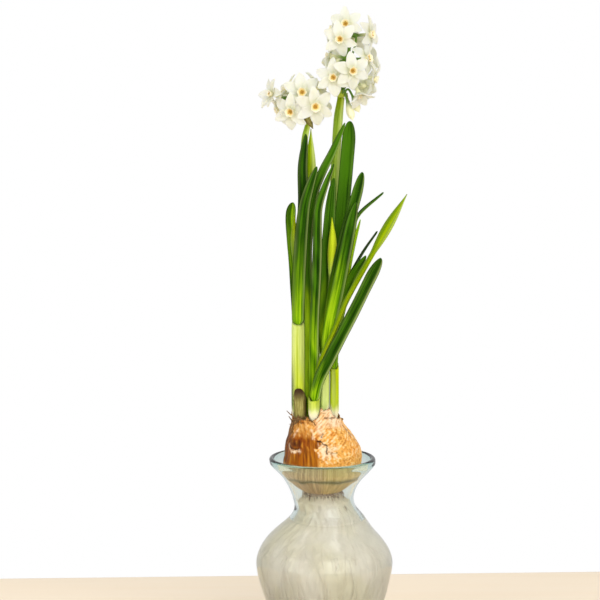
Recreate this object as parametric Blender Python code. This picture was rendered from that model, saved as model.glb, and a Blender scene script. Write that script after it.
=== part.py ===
"""A flowering paperwhite narcissus, grown on its bulb in the mouth of a glass forcing vase.

Run it with: blender --background --python part.py
Sizes and places below are in millimetres and angles in degrees. The meshes are in metres, +Z up.
The origin is the middle of the vase's foot, +X is to the viewer's right and -Y is towards the viewer.
"""

import math

import bmesh
import bpy
import numpy as np

MM = 0.001

# Driving dimensions of the vase
VASE_HEIGHT = 140.0
VASE_WALL = 2.4
RIM_WALL = 4.2
RIM_TAPER_FROM = 124.0
BASE_THICKNESS = 7.5
SHOULDER_LEAN = 2.3
SHOULDER_LEAN_HEIGHT = 98.0
SHOULDER_LEAN_SPREAD = 8.0
ROUND_SIDES = 28

# The vase's outer wall from the edge of its flat foot to under the rim: radius, height
OUTER_WALL = (
    (27.5, 0.0), (31.0, 2.6), (38.2, 22.5), (45.0, 40.5), (49.2, 60.0), (47.8, 70.0), (42.8, 78.6),
    (35.0, 87.3), (27.6, 95.5), (22.6, 102.8), (21.8, 109.5), (24.2, 117.5), (28.4, 124.6),
    (33.6, 130.4), (37.8, 135.0),
)
INNER_FLOOR = ((22.0, 8.2), (29.0, 12.0))
INNER_WALL_FROM = 2

# Water, bulb and roots
FIT_GAP = 0.3
WATER_LEVEL = 93.5
BULB_BOTTOM = 112.0
NECK_TOP = 166.0
NECK_SHIFT = -4.9
NECK_SHIFT_FROM = 127.0
NECK_DEPTH_SHARE = 0.80
# Radius and height of the bulb from its basal plate to its neck
BULB_OUTLINE = (
    (12.5, 112.0), (16.8, 114.6), (20.6, 118.4), (23.8, 122.4), (26.2, 126.8), (27.9, 132.5),
    (28.3, 139.5), (28.0, 146.0), (26.3, 151.5), (23.4, 157.0), (20.4, 161.8), (18.2, 166.0),
)
RIDGE_COUNT = 8
RIDGE_HEIGHT = 0.45
RIDGE_FROM = 134.0
CREASE_DEPTH = 1.6
CREASE_ANGLE = -97.0
CREASE_WIDTH = 14.0
CREASE_FROM = 142.0

ROOT_PLATE_RADIUS = 12.0
ROOT_PLATE_THICKNESS = 2.2
ROOT_RADIUS = 0.8
ROOT_SIDES = 5
ROOT_ROWS = 7
OUTER_ROOTS = 6
INNER_ROOTS = 4

# Leaves and stalks
LEAF_THICKNESS = 1.5
LEAF_EDGE = 0.8
LEAF_CHANNEL = 1.0
LEAF_ROWS = 12
STALK_SIDES = 7
STALK_ROWS = 11
SHEATH_WALL = 0.8
SHEATH_SIDES = 12

# Florets
TEPAL_THICKNESS = 0.8
TEPAL_TIP = 14.0
HUB_RADIUS = 3.3
HUB_THICKNESS = 0.9
# Distance from the floret's middle and half width where each tepal is widest and where it narrows.
# Where a tepal closes, its half width stays within this share of its distance from the star's axis.
TEPAL_ROWS = ((8.2, 4.1), (11.7, 2.9))
TEPAL_ROOM = 0.5
# Radius and height of the cup's rim outside and inside, and of its floor
CUP = ((3.6, 2.8), (2.9, 2.9), (1.8, 0.9))
# Radius and distance behind the floret's middle along the tube and the ovary
TUBE_RINGS = ((1.3, 2.8), (1.15, 9.5), (1.8, 12.6), (0.9, 15.0))
PEDICEL_RADIUS = 0.75
KNOB_REACH = 2.4

STAND = NECK_TOP + FIT_GAP

# Each leaf: width, share of the length that narrows to the tip, height where it leaves its sheath,
# facing at base and tip in degrees clockwise from the viewer, and its midrib from base to tip.
LEAVES = {
    "leaf_left_front": (9.6, 0.36, 242, 0, -8, (
        (-17.4, -5.0, STAND), (-17.3, -5.0, 233), (-17.0, -7.0, 257), (-16.1, -10.5, 289),
        (-14.1, -13.2, 318), (-9.6, -13.6, 334), (-4.0, -13.8, 350))),
    "leaf_left_tall": (8.0, 0.22, 238, 0, 8, (
        (-17.4, -2.6, STAND), (-17.7, -2.6, 240), (-17.4, -3.2, 276), (-14.8, -4.6, 305),
        (-13.6, -5.4, 326), (-14.1, -5.2, 350), (-11.7, -5.0, 372.5))),
    "leaf_left_curled": (7.2, 0.14, 238, 6, -24, (
        (-17.2, 5.7, STAND), (-17.7, 5.7, 232), (-20.2, 5.2, 275), (-22.0, 4.4, 297),
        (-23.2, 3.2, 313), (-21.6, 2.4, 323.5))),
    "leaf_long_arching": (6.6, 0.26, 184, 0, 10, (
        (-9.9, -0.8, STAND), (-9.3, -1.2, 204), (-9.5, -3.2, 246), (-10.7, -5.2, 281),
        (-10.2, -7.0, 301), (-8.5, -8.8, 318), (-5.3, -9.8, 334), (0.3, -10.4, 347.5),
        (6.6, -11.0, 360), (15.6, -12.0, 380.5))),
    "leaf_centre_front": (6.8, 0.34, 186, 0, 14, (
        (-6.2, -4.7, STAND), (-6.2, -5.4, 197), (-5.9, -8.6, 234), (-4.9, -10.8, 262),
        (-3.9, -12.6, 289), (-3.8, -13.8, 309), (-2.9, -14.4, 322), (1.6, -15.0, 336.5),
        (7.9, -15.6, 352))),
    "leaf_right_broad": (8.8, 0.12, 184, 0, 20, (
        (-5.9, -10.2, STAND), (-5.4, -10.8, 184), (-2.2, -13.2, 199), (5.0, -15.8, 214.5),
        (13.1, -18.5, 231), (22.4, -22.0, 250), (34.1, -27.5, 275), (40.5, -31.0, 287))),
    "leaf_middle_broad": (9.4, 0.20, 212, 0, 10, (
        (1.9, -3.1, STAND), (1.9, -3.3, 202), (3.7, -7.4, 223), (6.1, -10.0, 241),
        (9.6, -12.0, 257), (13.1, -13.4, 275), (19.3, -15.2, 307), (23.4, -16.0, 325))),
    "leaf_middle_back": (9.0, 0.22, 208, 0, 4, (
        (1.9, 4.4, STAND), (1.9, 4.2, 203), (2.0, 1.6, 239), (2.7, -0.4, 268),
        (3.7, -1.6, 290), (6.1, -2.6, 326), (8.2, -2.6, 341.5))),
    "leaf_tall_upright": (9.6, 0.14, 213, 4, -6, (
        (1.9, 6.6, STAND), (1.8, 6.6, 204), (3.5, 5.8, 239), (7.0, 4.6, 268),
        (11.6, 3.2, 297), (14.7, 2.2, 322), (18.1, 1.2, 361), (19.5, 0.8, 381.5))),
    "leaf_right_upright": (7.4, 0.16, 208, 2, 8, (
        (1.9, -1.0, STAND), (2.0, -1.4, 203), (4.8, -5.0, 240), (7.6, -7.0, 262),
        (12.4, -9.0, 286.5), (16.6, -10.0, 305), (21.1, -10.8, 323), (27.0, -12.0, 346))),
    "leaf_right_back": (5.2, 0.30, 208, 10, 66, (
        (8.7, 3.4, STAND), (8.6, 3.6, 203), (11.4, 5.0, 239), (17.0, 6.2, 282),
        (21.2, 5.4, 304), (26.6, 4.0, 316.5), (43.5, 0.6, 331))),
    "leaf_right_low": (6.6, 0.18, 208, 0, 14, (
        (8.7, -3.6, STAND), (8.6, -3.6, 204), (9.8, -5.0, 230), (13.2, -6.6, 248),
        (17.4, -8.2, 262.5), (21.6, -9.6, 273), (30.7, -11.6, 287))),
    "leaf_right_narrow": (4.0, 0.34, 208, 10, 72, (
        (8.8, -1.2, STAND), (8.7, -1.4, 203), (10.9, -2.5, 240), (16.2, -3.6, 265),
        (27.0, -4.8, 286.5), (39.0, -6.0, 304))),
    "leaf_right_pale": (3.8, 0.30, 208, 0, 10, (
        (8.7, 1.2, STAND), (9.0, 1.2, 203), (12.8, 1.4, 247), (17.0, 1.0, 268),
        (21.9, 0.6, 293), (27.1, 0.0, 312))),
}

# Each flower stalk that ends in a closed bud: stalk radius, bud radius, bud length and its points.
BUD_STALKS = {
    "bud_stalk_left": (1.1, 1.9, 24, (
        (-17.4, 3.2, STAND), (-17.7, 3.2, 232), (-18.8, 2.4, 261), (-19.5, 0.6, 281),
        (-19.1, -1.0, 301), (-19.1, -2.0, 314))),
    "bud_stalk_tall": (1.6, 2.8, 44, (
        (-10.4, 3.4, STAND), (-10.9, 4.2, 195), (-11.6, 5.4, 232), (-11.2, 6.4, 261),
        (-10.2, 7.4, 296), (-8.8, 7.8, 335), (-8.1, 7.6, 376))),
    "bud_stalk_middle": (1.3, 3.1, 36, (
        (1.6, 1.9, STAND), (1.6, 1.6, 203), (2.7, -2.0, 233), (4.4, -4.2, 255),
        (6.1, -6.0, 275), (7.1, -7.2, 295), (6.7, -7.8, 314))),
    "bud_stalk_right": (1.6, 3.2, 40, (
        (-5.8, -7.2, STAND), (-4.9, -8.6, 192), (-1.0, -11.2, 212), (8.9, -13.6, 235),
        (17.3, -15.4, 256), (31.2, -17.8, 282), (45.0, -19.8, 307), (58.9, -21.2, 331))),
}

# The two stalks that carry open flowers: radius at the foot and the top, and their points.
SCAPES = {
    "scape_left": (1.7, 2.3, (
        (-17.4, 0.3, STAND), (-17.4, 0.6, 240), (-15.9, 0.6, 276), (-14.5, -0.2, 311),
        (-13.8, -0.4, 347), (-12.7, -0.6, 368), (-9.2, -0.6, 383.5))),
    "scape_right": (2.2, 3.3, (
        (-6.6, 9.4, STAND), (-5.8, 11.0, 194), (-1.4, 12.8, 231), (3.6, 13.2, 267),
        (7.5, 12.6, 303), (9.3, 11.0, 348), (11.2, 9.2, 382), (13.2, 8.0, 398))),
}

# Sheaths round the foot of each shoot: middle x, y, half width, half depth, mouth height, mouth slant.
SHEATHS = {
    "sheath_left": (-17.3, 0.3, 4.3, 8.0, 240.0, 3.0),
    "sheath_front": (-5.9, -7.9, 4.1, 5.2, 185.0, 2.0),
    "sheath_middle": (1.9, 2.2, 3.4, 8.8, 206.0, 2.0),
    "sheath_right": (8.8, -0.2, 3.2, 6.0, 207.5, 2.5),
}
SHEATH_SECTION_POWER = 0.5

# Papery scales and bracts: width, facing, and their points from the foot or the stalk's top outwards
BRACTS = {
    "sheath_withered": (8.4, -14, (
        (-15.4, -9.9, STAND), (-16.0, -10.2, 171), (-16.7, -10.2, 179), (-17.0, -10.0, 189))),
    "bract_left": (5.0, 10, (
        (-10.0, -5.0, 387.2), (-9.4, -5.2, 384.2), (-8.3, -5.2, 381.0), (-6.8, -5.4, 377.2))),
    "bract_right": (4.4, 60, (
        (17.2, 6.8, 401.2), (17.8, 6.5, 398.4), (18.8, 6.0, 395.0), (20.2, 5.2, 391.2))),
}
BRACT_THICKNESS = 0.7
BRACT_CUP = 0.9

# Florets: middle of the star x, y, z, facing (degrees clockwise from the viewer, degrees up),
# turn of the star about its own axis, reach against TEPAL_ROWS, and how far the tepals close.
LEFT_FLORETS = (
    (-14.4, -14.0, 401.7, -5, 3, 30, 1.04, 0),
    (-5.3, -19.0, 391.8, 8, -10, 10, 1.04, 0),
    (-22.4, -14.0, 388.2, -22, -10, 35, 0.98, 4),
    (-37.3, -5.0, 400.1, -75, 20, 0, 0.92, 34),
    (-26.0, 4.0, 402.5, -80, 35, 20, 0.98, 6),
    (-30.5, -1.5, 389.5, -75, -22, 40, 0.92, 10),
    (-3.5, 3.0, 405.4, 110, 35, 5, 0.96, 4),
    (-19.0, 17.0, 399.0, -165, 5, 30, 1.0, 0),
    (-2.5, 15.0, 392.5, 145, -5, 10, 0.96, 0),
)
RIGHT_FLORETS = (
    (16.0, -7.0, 449.1, -8, 12, 0, 0.92, 0),
    (12.0, -17.0, 438.5, -12, -6, 30, 0.92, 0),
    (7.8, 3.0, 445.6, -105, 12, 10, 0.86, 6),
    (33.3, 0.0, 442.1, 78, 2, 0, 0.98, 6),
    (7.4, -20.5, 412.0, -12, -3, 12, 1.0, 0),
    (20.4, -23.0, 416.5, 12, -3, 45, 0.96, 0),
    (31.0, -10.0, 425.0, 55, 14, 20, 0.94, 0),
    (36.0, -5.0, 411.0, 80, -12, 0, 0.90, 4),
    (25.3, -12.0, 400.5, 40, -58, 20, 0.84, 46),
    (5.4, 5.0, 427.0, -105, 4, 15, 0.90, 6),
    (22.0, 13.0, 440.0, 150, 50, 15, 0.90, 2),
    (12.0, 28.0, 424.0, -170, 4, 0, 1.0, 0),
    (33.0, 22.0, 427.0, 130, 12, 35, 0.95, 0),
    (30.0, 22.0, 406.0, 140, -14, 10, 0.95, 0),
)
# Florets still closed that hang from the right stalk: foot and tip of the bud
HANGING_BUDS = (
    ((17.0, -3.0, 396.8), (21.3, -8.4, 381.7)),
    ((21.4, 0.6, 398.6), (26.0, -2.6, 387.2)),
)
HANGING_BUD_RADIUS = 2.7

GLASS_COLOUR = (0.80, 0.90, 0.88, 1.0)
WATER_COLOUR = (0.86, 0.92, 0.90, 1.0)
TUNIC_COLOUR = (0.55, 0.30, 0.11, 1.0)
ROOT_COLOUR = (0.86, 0.82, 0.70, 1.0)
SHEATH_COLOUR = (0.66, 0.76, 0.30, 1.0)
LEAF_COLOUR = (0.12, 0.30, 0.05, 1.0)
STALK_COLOUR = (0.42, 0.58, 0.14, 1.0)
BUD_COLOUR = (0.50, 0.62, 0.08, 1.0)
PETAL_COLOUR = (0.92, 0.91, 0.84, 1.0)
BRACT_COLOUR = (0.42, 0.36, 0.16, 1.0)


def clear_scene():
    """Removes what Blender starts with."""
    for obj in list(bpy.data.objects):
        bpy.data.objects.remove(obj, do_unlink=True)


def material(name, colour, roughness, transmission=0.0):
    """A Principled material of one colour."""
    made = bpy.data.materials.new(name)
    made.use_nodes = True
    shader = made.node_tree.nodes["Principled BSDF"]
    shader.inputs["Base Color"].default_value = colour
    shader.inputs["Roughness"].default_value = roughness
    shader.inputs["Metallic"].default_value = 0.0
    shader.inputs["Transmission Weight"].default_value = transmission
    made.diffuse_color = colour
    return made


def smoothstep(x):
    """0 below 0, 1 above 1 and 3x^2 - 2x^3 between."""
    x = np.clip(x, 0.0, 1.0)
    return x * x * (3.0 - 2.0 * x)


def curve_through(points, count):
    """Points evenly spaced along a smooth (Catmull-Rom) curve through the given points."""
    given = np.asarray(points, float)
    ends = np.vstack([2 * given[0] - given[1], given, 2 * given[-1] - given[-2]])
    steps = np.linspace(0.0, 1.0, 24, endpoint=False)[:, None]
    fine = []
    for before, start, end, after in zip(ends, ends[1:], ends[2:], ends[3:]):
        a = 2 * start
        b = end - before
        c = 2 * before - 5 * start + 4 * end - after
        d = -before + 3 * start - 3 * end + after
        fine.append(0.5 * (a + b * steps + c * steps**2 + d * steps**3))
    fine = np.vstack(fine + [given[-1:]])
    along = np.concatenate([[0.0], np.cumsum(np.linalg.norm(np.diff(fine, axis=0), axis=1))])
    wanted = np.linspace(0.0, along[-1], count)
    return np.column_stack([np.interp(wanted, along, fine[:, axis]) for axis in range(3)])


def unit(vectors):
    """Vectors of length 1, along the last axis."""
    vectors = np.asarray(vectors, float)
    return vectors / np.linalg.norm(vectors, axis=-1, keepdims=True)


def facing_vector(clockwise, up=0.0):
    """The direction that many degrees clockwise from the viewer, seen from above, and up."""
    turn, rise = math.radians(clockwise), math.radians(up)
    level = math.cos(rise)
    return np.array([math.sin(turn) * level, -math.cos(turn) * level, math.sin(rise)])


def new_object(name, points, faces, look, collection=None):
    """An object with a closed mesh, its faces turned outwards. Points are in millimetres."""
    mesh = bpy.data.meshes.new(name)
    mesh.from_pydata((np.asarray(points, float) * MM).tolist(), [], faces)
    work = bmesh.new()
    work.from_mesh(mesh)
    bmesh.ops.recalc_face_normals(work, faces=work.faces)
    work.to_mesh(mesh)
    work.free()
    mesh.materials.append(look)
    mesh.shade_smooth()
    mesh.set_sharp_from_angle(angle=math.radians(50))
    obj = bpy.data.objects.new(name, mesh)
    (collection or bpy.context.scene.collection).objects.link(obj)
    return obj


def ring_faces(rows, sides, cyclic=False, caps=True):
    """Triangles between rings of points, with the end rings closed by a fan or joined to each other."""
    faces = []
    for row in range(rows if cyclic else rows - 1):
        here, there = row * sides, ((row + 1) % rows) * sides
        for side in range(sides):
            after = (side + 1) % sides
            faces.append((here + side, here + after, there + after))
            faces.append((here + side, there + after, there + side))
    if caps and not cyclic:
        last = (rows - 1) * sides
        faces.append(tuple(range(sides)))
        faces.append(tuple(range(last + sides - 1, last - 1, -1)))
    return faces


def turned(profile, shift=0.0, depth_share=1.0):
    """Rings of a profile (radius, height) about the vertical axis, each shifted along X and flattened
    along Y."""
    angles = 2 * np.pi * np.arange(ROUND_SIDES) / ROUND_SIDES
    radius = profile[:, 0:1]
    height = profile[:, 1:2]
    x = radius * np.cos(angles) + shift
    y = radius * np.sin(angles) * depth_share
    z = np.broadcast_to(height, x.shape)
    return np.stack([x, y, z], axis=-1)


def shoulder_lean(height):
    """How far the hand-blown vase leans to +X at its shoulder: a bell curve over the height."""
    return SHOULDER_LEAN * np.exp(-(((height - SHOULDER_LEAN_HEIGHT) / SHOULDER_LEAN_SPREAD) ** 2))


def inner_wall(extra=0.0):
    """The inner wall: the outer one moved in by the thickness of the glass, square to the wall, and
    by the extra."""
    outer = np.asarray(OUTER_WALL)
    along = unit(np.gradient(outer, axis=0))
    thickness = VASE_WALL + (RIM_WALL - VASE_WALL) * smoothstep(
        (outer[:, 1] - RIM_TAPER_FROM) / (VASE_HEIGHT - RIM_TAPER_FROM)
    )
    moved = outer - (thickness[:, None] + extra) * np.column_stack([along[:, 1], -along[:, 0]])
    floor = np.asarray(INNER_FLOOR) + [-extra, extra]
    return np.vstack([floor, moved[INNER_WALL_FROM:]])


def make_vase(look):
    """The glass: foot, wall, rolled rim and inner wall as one ring of rings, closed at both floors."""
    outer = np.asarray(OUTER_WALL)
    inner = inner_wall()
    middle = (outer[-1] + inner[-1]) / 2
    across = (outer[-1] - inner[-1]) / 2
    upwards = np.array([-across[1], across[0]])
    bends = np.radians([40.0, 90.0, 140.0])
    rim = np.array([middle + across * math.cos(a) + upwards * math.sin(a) for a in bends])
    rim[:, 1] += VASE_HEIGHT - rim[:, 1].max()
    profile = np.vstack([outer, rim, inner[::-1], [[10.0, BASE_THICKNESS]]])
    rings = turned(profile, shoulder_lean(profile[:, 1:2]))
    return new_object("vase", rings.reshape(-1, 3), ring_faces(len(rings), ROUND_SIDES), look)


def make_bulb(look):
    """The bulb: a turned form whose neck is shifted, flattened and creased, with low tunic ridges."""
    profile = np.asarray(BULB_OUTLINE)
    share = smoothstep((profile[:, 1:2] - NECK_SHIFT_FROM) / (NECK_TOP - NECK_SHIFT_FROM))
    rings = turned(profile, NECK_SHIFT * share, 1 - (1 - NECK_DEPTH_SHARE) * share)
    angles = 2 * np.pi * np.arange(ROUND_SIDES) / ROUND_SIDES
    high = smoothstep((profile[:, 1:2] - RIDGE_FROM) / 12.0)
    ridges = RIDGE_HEIGHT * high * np.cos(RIDGE_COUNT * angles) * (1 - share**4)
    apart = np.angle(np.exp(1j * (angles - math.radians(CREASE_ANGLE))))
    deep = smoothstep((profile[:, 1:2] - CREASE_FROM) / 14.0)
    crease = -CREASE_DEPTH * deep * np.exp(-((apart / math.radians(CREASE_WIDTH)) ** 2))
    swell = ridges + crease
    outward = np.stack([np.cos(angles), np.sin(angles)], axis=-1)
    rings[..., 0:2] += swell[..., None] * outward
    return new_object("bulb", rings.reshape(-1, 3), ring_faces(len(rings), ROUND_SIDES), look)


def tube(path, radii, sides, depth_share=1.0, flat_start=False, flat_end=False):
    """Rings of points round a path, radii[i] wide, with level end rings where asked."""
    path = np.asarray(path, float)
    along = unit(np.gradient(path, axis=0))
    if flat_start:
        along[0] = (0.0, 0.0, 1.0)
    if flat_end:
        along[-1] = (0.0, 0.0, 1.0)
    reference = np.array([0.0, -1.0, 0.0]) if abs(along[0][1]) < 0.9 else np.array([1.0, 0.0, 0.0])
    sideways = unit(np.cross(along, reference))
    forwards = np.cross(sideways, along)
    angles = 2 * np.pi * np.arange(sides) / sides
    radii = np.broadcast_to(radii, len(path))[:, None, None]
    across = np.cos(angles)[None, :, None] * sideways[:, None, :]
    towards = depth_share * np.sin(angles)[None, :, None] * forwards[:, None, :]
    return path[:, None, :] + radii * (across + towards)


def union_into(first, others_name, others):
    """Joins the other objects into the first by one Boolean union, applies it and removes them."""
    group = bpy.data.collections.new(others_name)
    bpy.context.scene.collection.children.link(group)
    for other in others:
        for owner in list(other.users_collection):
            owner.objects.unlink(other)
        group.objects.link(other)
    join = first.modifiers.new("join", "BOOLEAN")
    join.operation = "UNION"
    join.operand_type = "COLLECTION"
    join.collection = group
    join.solver = "MANIFOLD"
    bpy.context.view_layer.update()
    evaluated = first.evaluated_get(bpy.context.evaluated_depsgraph_get())
    joined = bpy.data.meshes.new_from_object(evaluated)
    first.modifiers.remove(join)
    first.data = joined
    for other in others:
        bpy.data.objects.remove(other, do_unlink=True)
    bpy.data.collections.remove(group)
    return first


def root_paths():
    """Where the roots run: an outer ring that fans out to the wall and an inner ring that drops."""
    paths = []
    for count, start, neck, belly, end, low in (
        (OUTER_ROOTS, 9.4, 11.5, 32.0, 22.0, 16.0),
        (INNER_ROOTS, 4.2, 5.5, 13.5, 9.5, 13.0),
    ):
        for number in range(count):
            turn = 2 * math.pi * (number + 0.5) / count
            sweep = 0.12 * math.sin(2.4 * number)
            points = []
            for reach, height, drift in (
                (start, BULB_BOTTOM - FIT_GAP - 1.2, 0.0), (neck, 101.0, 0.0),
                (0.55 * (neck + belly), 84.0, sweep), (belly, 62.0, 2 * sweep),
                (0.92 * belly, 38.0, 3 * sweep), (end, low + 3.0 * (number % 3), 4 * sweep),
            ):
                angle = turn + drift
                points.append((reach * math.cos(angle), reach * math.sin(angle), height))
            paths.append(curve_through(points, ROOT_ROWS))
    return paths


def make_roots(look):
    """The basal plate's root ring and the roots that hang from it, in one body."""
    top = BULB_BOTTOM - FIT_GAP
    profile = np.array([
        [ROOT_PLATE_RADIUS - 1.5, top - ROOT_PLATE_THICKNESS],
        [ROOT_PLATE_RADIUS, top - 0.8],
        [ROOT_PLATE_RADIUS - 0.4, top],
    ])
    rings = turned(profile)[:, ::2]
    sides = rings.shape[1]
    plate = new_object("roots", rings.reshape(-1, 3), ring_faces(len(rings), sides), look)
    others = []
    for number, path in enumerate(root_paths()):
        thickness = ROOT_RADIUS * (1 - 0.35 * smoothstep((np.linspace(0, 1, len(path)) - 0.8) / 0.2))
        rings = tube(path, thickness, ROOT_SIDES)
        faces = ring_faces(len(path), ROOT_SIDES)
        others.append(new_object(f"root_{number}", rings.reshape(-1, 3), faces, look))
    return union_into(plate, "root_strands", others)


def make_water(look):
    """The water: the inner wall moved in by the fit gap, up to the level, with a hole for each root."""
    inner = inner_wall(FIT_GAP)
    under = inner[inner[:, 1] < WATER_LEVEL]
    above = inner[inner[:, 1] >= WATER_LEVEL][0]
    share = (WATER_LEVEL - under[-1][1]) / (above[1] - under[-1][1])
    surface = under[-1] + share * (above - under[-1])
    profile = np.vstack([[[9.5, BASE_THICKNESS + FIT_GAP]], under, [surface]])
    rings = turned(profile, shoulder_lean(profile[:, 1:2]))
    water = new_object("water", rings.reshape(-1, 3), ring_faces(len(rings), ROUND_SIDES), look)
    holes = bpy.data.collections.new("root_holes")
    bpy.context.scene.collection.children.link(holes)
    holes.hide_render = True
    for number, path in enumerate(root_paths()):
        ends = unit(path[-1] - path[-2])
        longer = np.vstack([path, path[-1] + ends * (2 * FIT_GAP)])
        rings = tube(longer, ROOT_RADIUS / math.cos(math.pi / ROOT_SIDES) + 0.2 + FIT_GAP, ROOT_SIDES)
        faces = ring_faces(len(longer), ROOT_SIDES)
        cutter = new_object(f"root_hole_{number}", rings.reshape(-1, 3), faces, look, holes)
        cutter.hide_render = True
        cutter.display_type = "WIRE"
    cut = water.modifiers.new("root holes", "BOOLEAN")
    cut.operation = "DIFFERENCE"
    cut.operand_type = "COLLECTION"
    cut.collection = holes
    cut.solver = "MANIFOLD"
    return water


def strap_faces(rows):
    """Triangles of a strap whose rows are left, middle and right on top, then right, middle and left
    underneath. Both faces are split along the same diagonals."""
    faces = []
    for row in range(rows - 1):
        here, there = row * 6, row * 6 + 6
        for a, b, under_a, under_b in ((0, 1, 5, 4), (1, 2, 4, 3)):
            faces.append((here + a, here + b, there + b))
            faces.append((here + a, there + b, there + a))
            faces.append((here + under_a, there + under_b, here + under_b))
            faces.append((here + under_a, there + under_a, there + under_b))
        for a, b in ((2, 3), (5, 0)):
            faces.append((here + a, here + b, there + b))
            faces.append((here + a, there + b, there + a))
    for start in (0, (rows - 1) * 6):
        ends = ((0, 5, 1), (1, 5, 4), (1, 4, 2), (2, 4, 3))
        faces += [tuple(start + i for i in end) for end in ends]
    return faces


def leaf_width(share, height, width, narrowing, free_from, base_share=0.43):
    """Half width along a strap leaf: narrow in the sheath, full above it, round at the tip."""
    opening = base_share + (1 - base_share) * smoothstep((height - free_from) / 26.0)
    left = np.clip((1.0 - share) / narrowing, 0.0, 1.0)
    closing = np.sqrt(1 - (1 - left) ** 2) * 0.9 + 0.1
    return 0.5 * width * opening * closing


def make_strap(name, look, path, half_width, facing, thickness, edge, channel):
    """A strap: a shallow gutter in section, thickest at the midrib, that follows a path. One that
    stands on the bulb has a level foot."""
    along = unit(np.gradient(path, axis=0))
    if path[0][2] <= STAND:
        along[0] = (0.0, 0.0, 1.0)
    sideways = unit(np.cross(along, facing))
    normal = np.cross(sideways, along)
    rows = len(path)
    half = half_width[:, None]
    lift = channel[:, None] * normal * half / half_width.max()
    left, right = path - sideways * half + lift, path + sideways * half + lift
    middle = normal * thickness / 2
    rim = normal * edge / 2
    front = [left + rim, path + middle, right + rim]
    section = np.stack(front + [right - rim, path - middle, left - rim], axis=1)
    return new_object(name, section.reshape(-1, 3), strap_faces(rows), look)


def make_leaf(name, look, width, narrowing, free_from, face_from, face_to, points):
    """One strap leaf, its rows closer together towards the tip."""
    share = 1 - (1 - np.linspace(0.0, 1.0, LEAF_ROWS)) ** 1.35
    fine = curve_through(points, 121)
    path = np.column_stack([np.interp(share, np.linspace(0, 1, 121), fine[:, k]) for k in range(3)])
    turns = face_from + (face_to - face_from) * smoothstep(share)
    facing = np.array([facing_vector(turn) for turn in turns])
    half = leaf_width(share, path[:, 2], width, narrowing, free_from)
    channel = LEAF_CHANNEL * smoothstep((path[:, 2] - free_from) / 30.0)
    return make_strap(name, look, path, half, facing, LEAF_THICKNESS, LEAF_EDGE, channel)


def make_bud_stalk(name, look, stalk_radius, bud_radius, bud_length, points):
    """A stalk that swells at its top into the closed bract round the flower buds."""
    fine = curve_through(points, 161)
    length = np.linalg.norm(np.diff(fine, axis=0), axis=1).sum()
    bud_from = 1 - bud_length / length
    share = np.concatenate([
        np.linspace(0.0, bud_from, 9),
        bud_from + (1 - bud_from) * np.array([0.16, 0.34, 0.52, 0.70, 0.86, 1.0]),
    ])
    path = np.column_stack([np.interp(share, np.linspace(0, 1, 161), fine[:, k]) for k in range(3)])
    in_bud = np.clip((share - bud_from) / (1 - bud_from), 0.0, 1.0)
    swell = np.sin(np.pi * np.clip(in_bud, 0, 1) ** 0.8) ** 0.8
    taper = 1 - 0.85 * smoothstep(in_bud)
    radii = stalk_radius * taper + (bud_radius - 0.35 * stalk_radius) * swell
    rings = tube(path, radii, STALK_SIDES, 0.85, flat_start=True)
    return new_object(name, rings.reshape(-1, 3), ring_faces(len(path), STALK_SIDES), look)


def make_scape(name, look, foot_radius, top_radius, points):
    """A flower stalk, slightly flattened, with level ends."""
    path = curve_through(points, STALK_ROWS)
    share = np.linspace(0.0, 1.0, STALK_ROWS)
    radii = foot_radius + (top_radius - foot_radius) * smoothstep((share - 0.3) / 0.5)
    radii = radii * (1 - 0.22 * smoothstep((share - 0.93) / 0.07))
    rings = tube(path, radii, STALK_SIDES, 0.85, flat_start=True, flat_end=True)
    return new_object(name, rings.reshape(-1, 3), ring_faces(len(path), STALK_SIDES), look)


def make_sheath(name, look, middle_x, middle_y, half_width, half_depth, mouth, slant):
    """A thin tube, nearly oblong in section, round the foot of a shoot. Its mouth is lower in front."""
    angles = 2 * np.pi * np.arange(SHEATH_SIDES) / SHEATH_SIDES
    across = np.sign(np.cos(angles)) * np.abs(np.cos(angles)) ** SHEATH_SECTION_POWER
    deep = np.sign(np.sin(angles)) * np.abs(np.sin(angles)) ** SHEATH_SECTION_POWER
    share = np.array([0.0, 0.5, 1.0])[:, None]
    top = mouth + slant * np.sin(angles)
    walls = []
    for inset in (0.0, SHEATH_WALL):
        x = middle_x + (half_width - inset) * across + 0 * share
        y = middle_y + (half_depth - inset) * deep + 0 * share
        walls.append(np.stack([x, y, STAND + (top - STAND) * share], axis=-1))
    rings = np.concatenate([walls[0], walls[1][::-1]])
    faces = ring_faces(len(rings), SHEATH_SIDES, cyclic=True)
    return new_object(name, rings.reshape(-1, 3), faces, look)


def make_bract(name, look, width, facing, points):
    """A withered papery scale or bract. It bends over about one level axis, so it never twists."""
    path = curve_through(points, 6)
    half = 0.5 * width * np.array([0.55, 0.85, 1.0, 0.94, 0.7, 0.2])
    level = np.cross([0.0, 0.0, 1.0], facing_vector(facing))
    faces = np.cross(level, unit(np.gradient(path, axis=0)))
    return make_strap(name, look, path, half, faces, BRACT_THICKNESS, BRACT_THICKNESS, BRACT_CUP * np.ones(6))


def star_axes(clockwise, up, turn):
    """The star's own axes: out of its face, and two across it turned about that."""
    out = facing_vector(clockwise, up)
    level = unit(np.cross([0.0, 0.0, 1.0], out))
    rise = np.cross(out, level)
    angle = math.radians(turn)
    across = math.cos(angle) * level + math.sin(angle) * rise
    return across, np.cross(out, across), out


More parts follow.
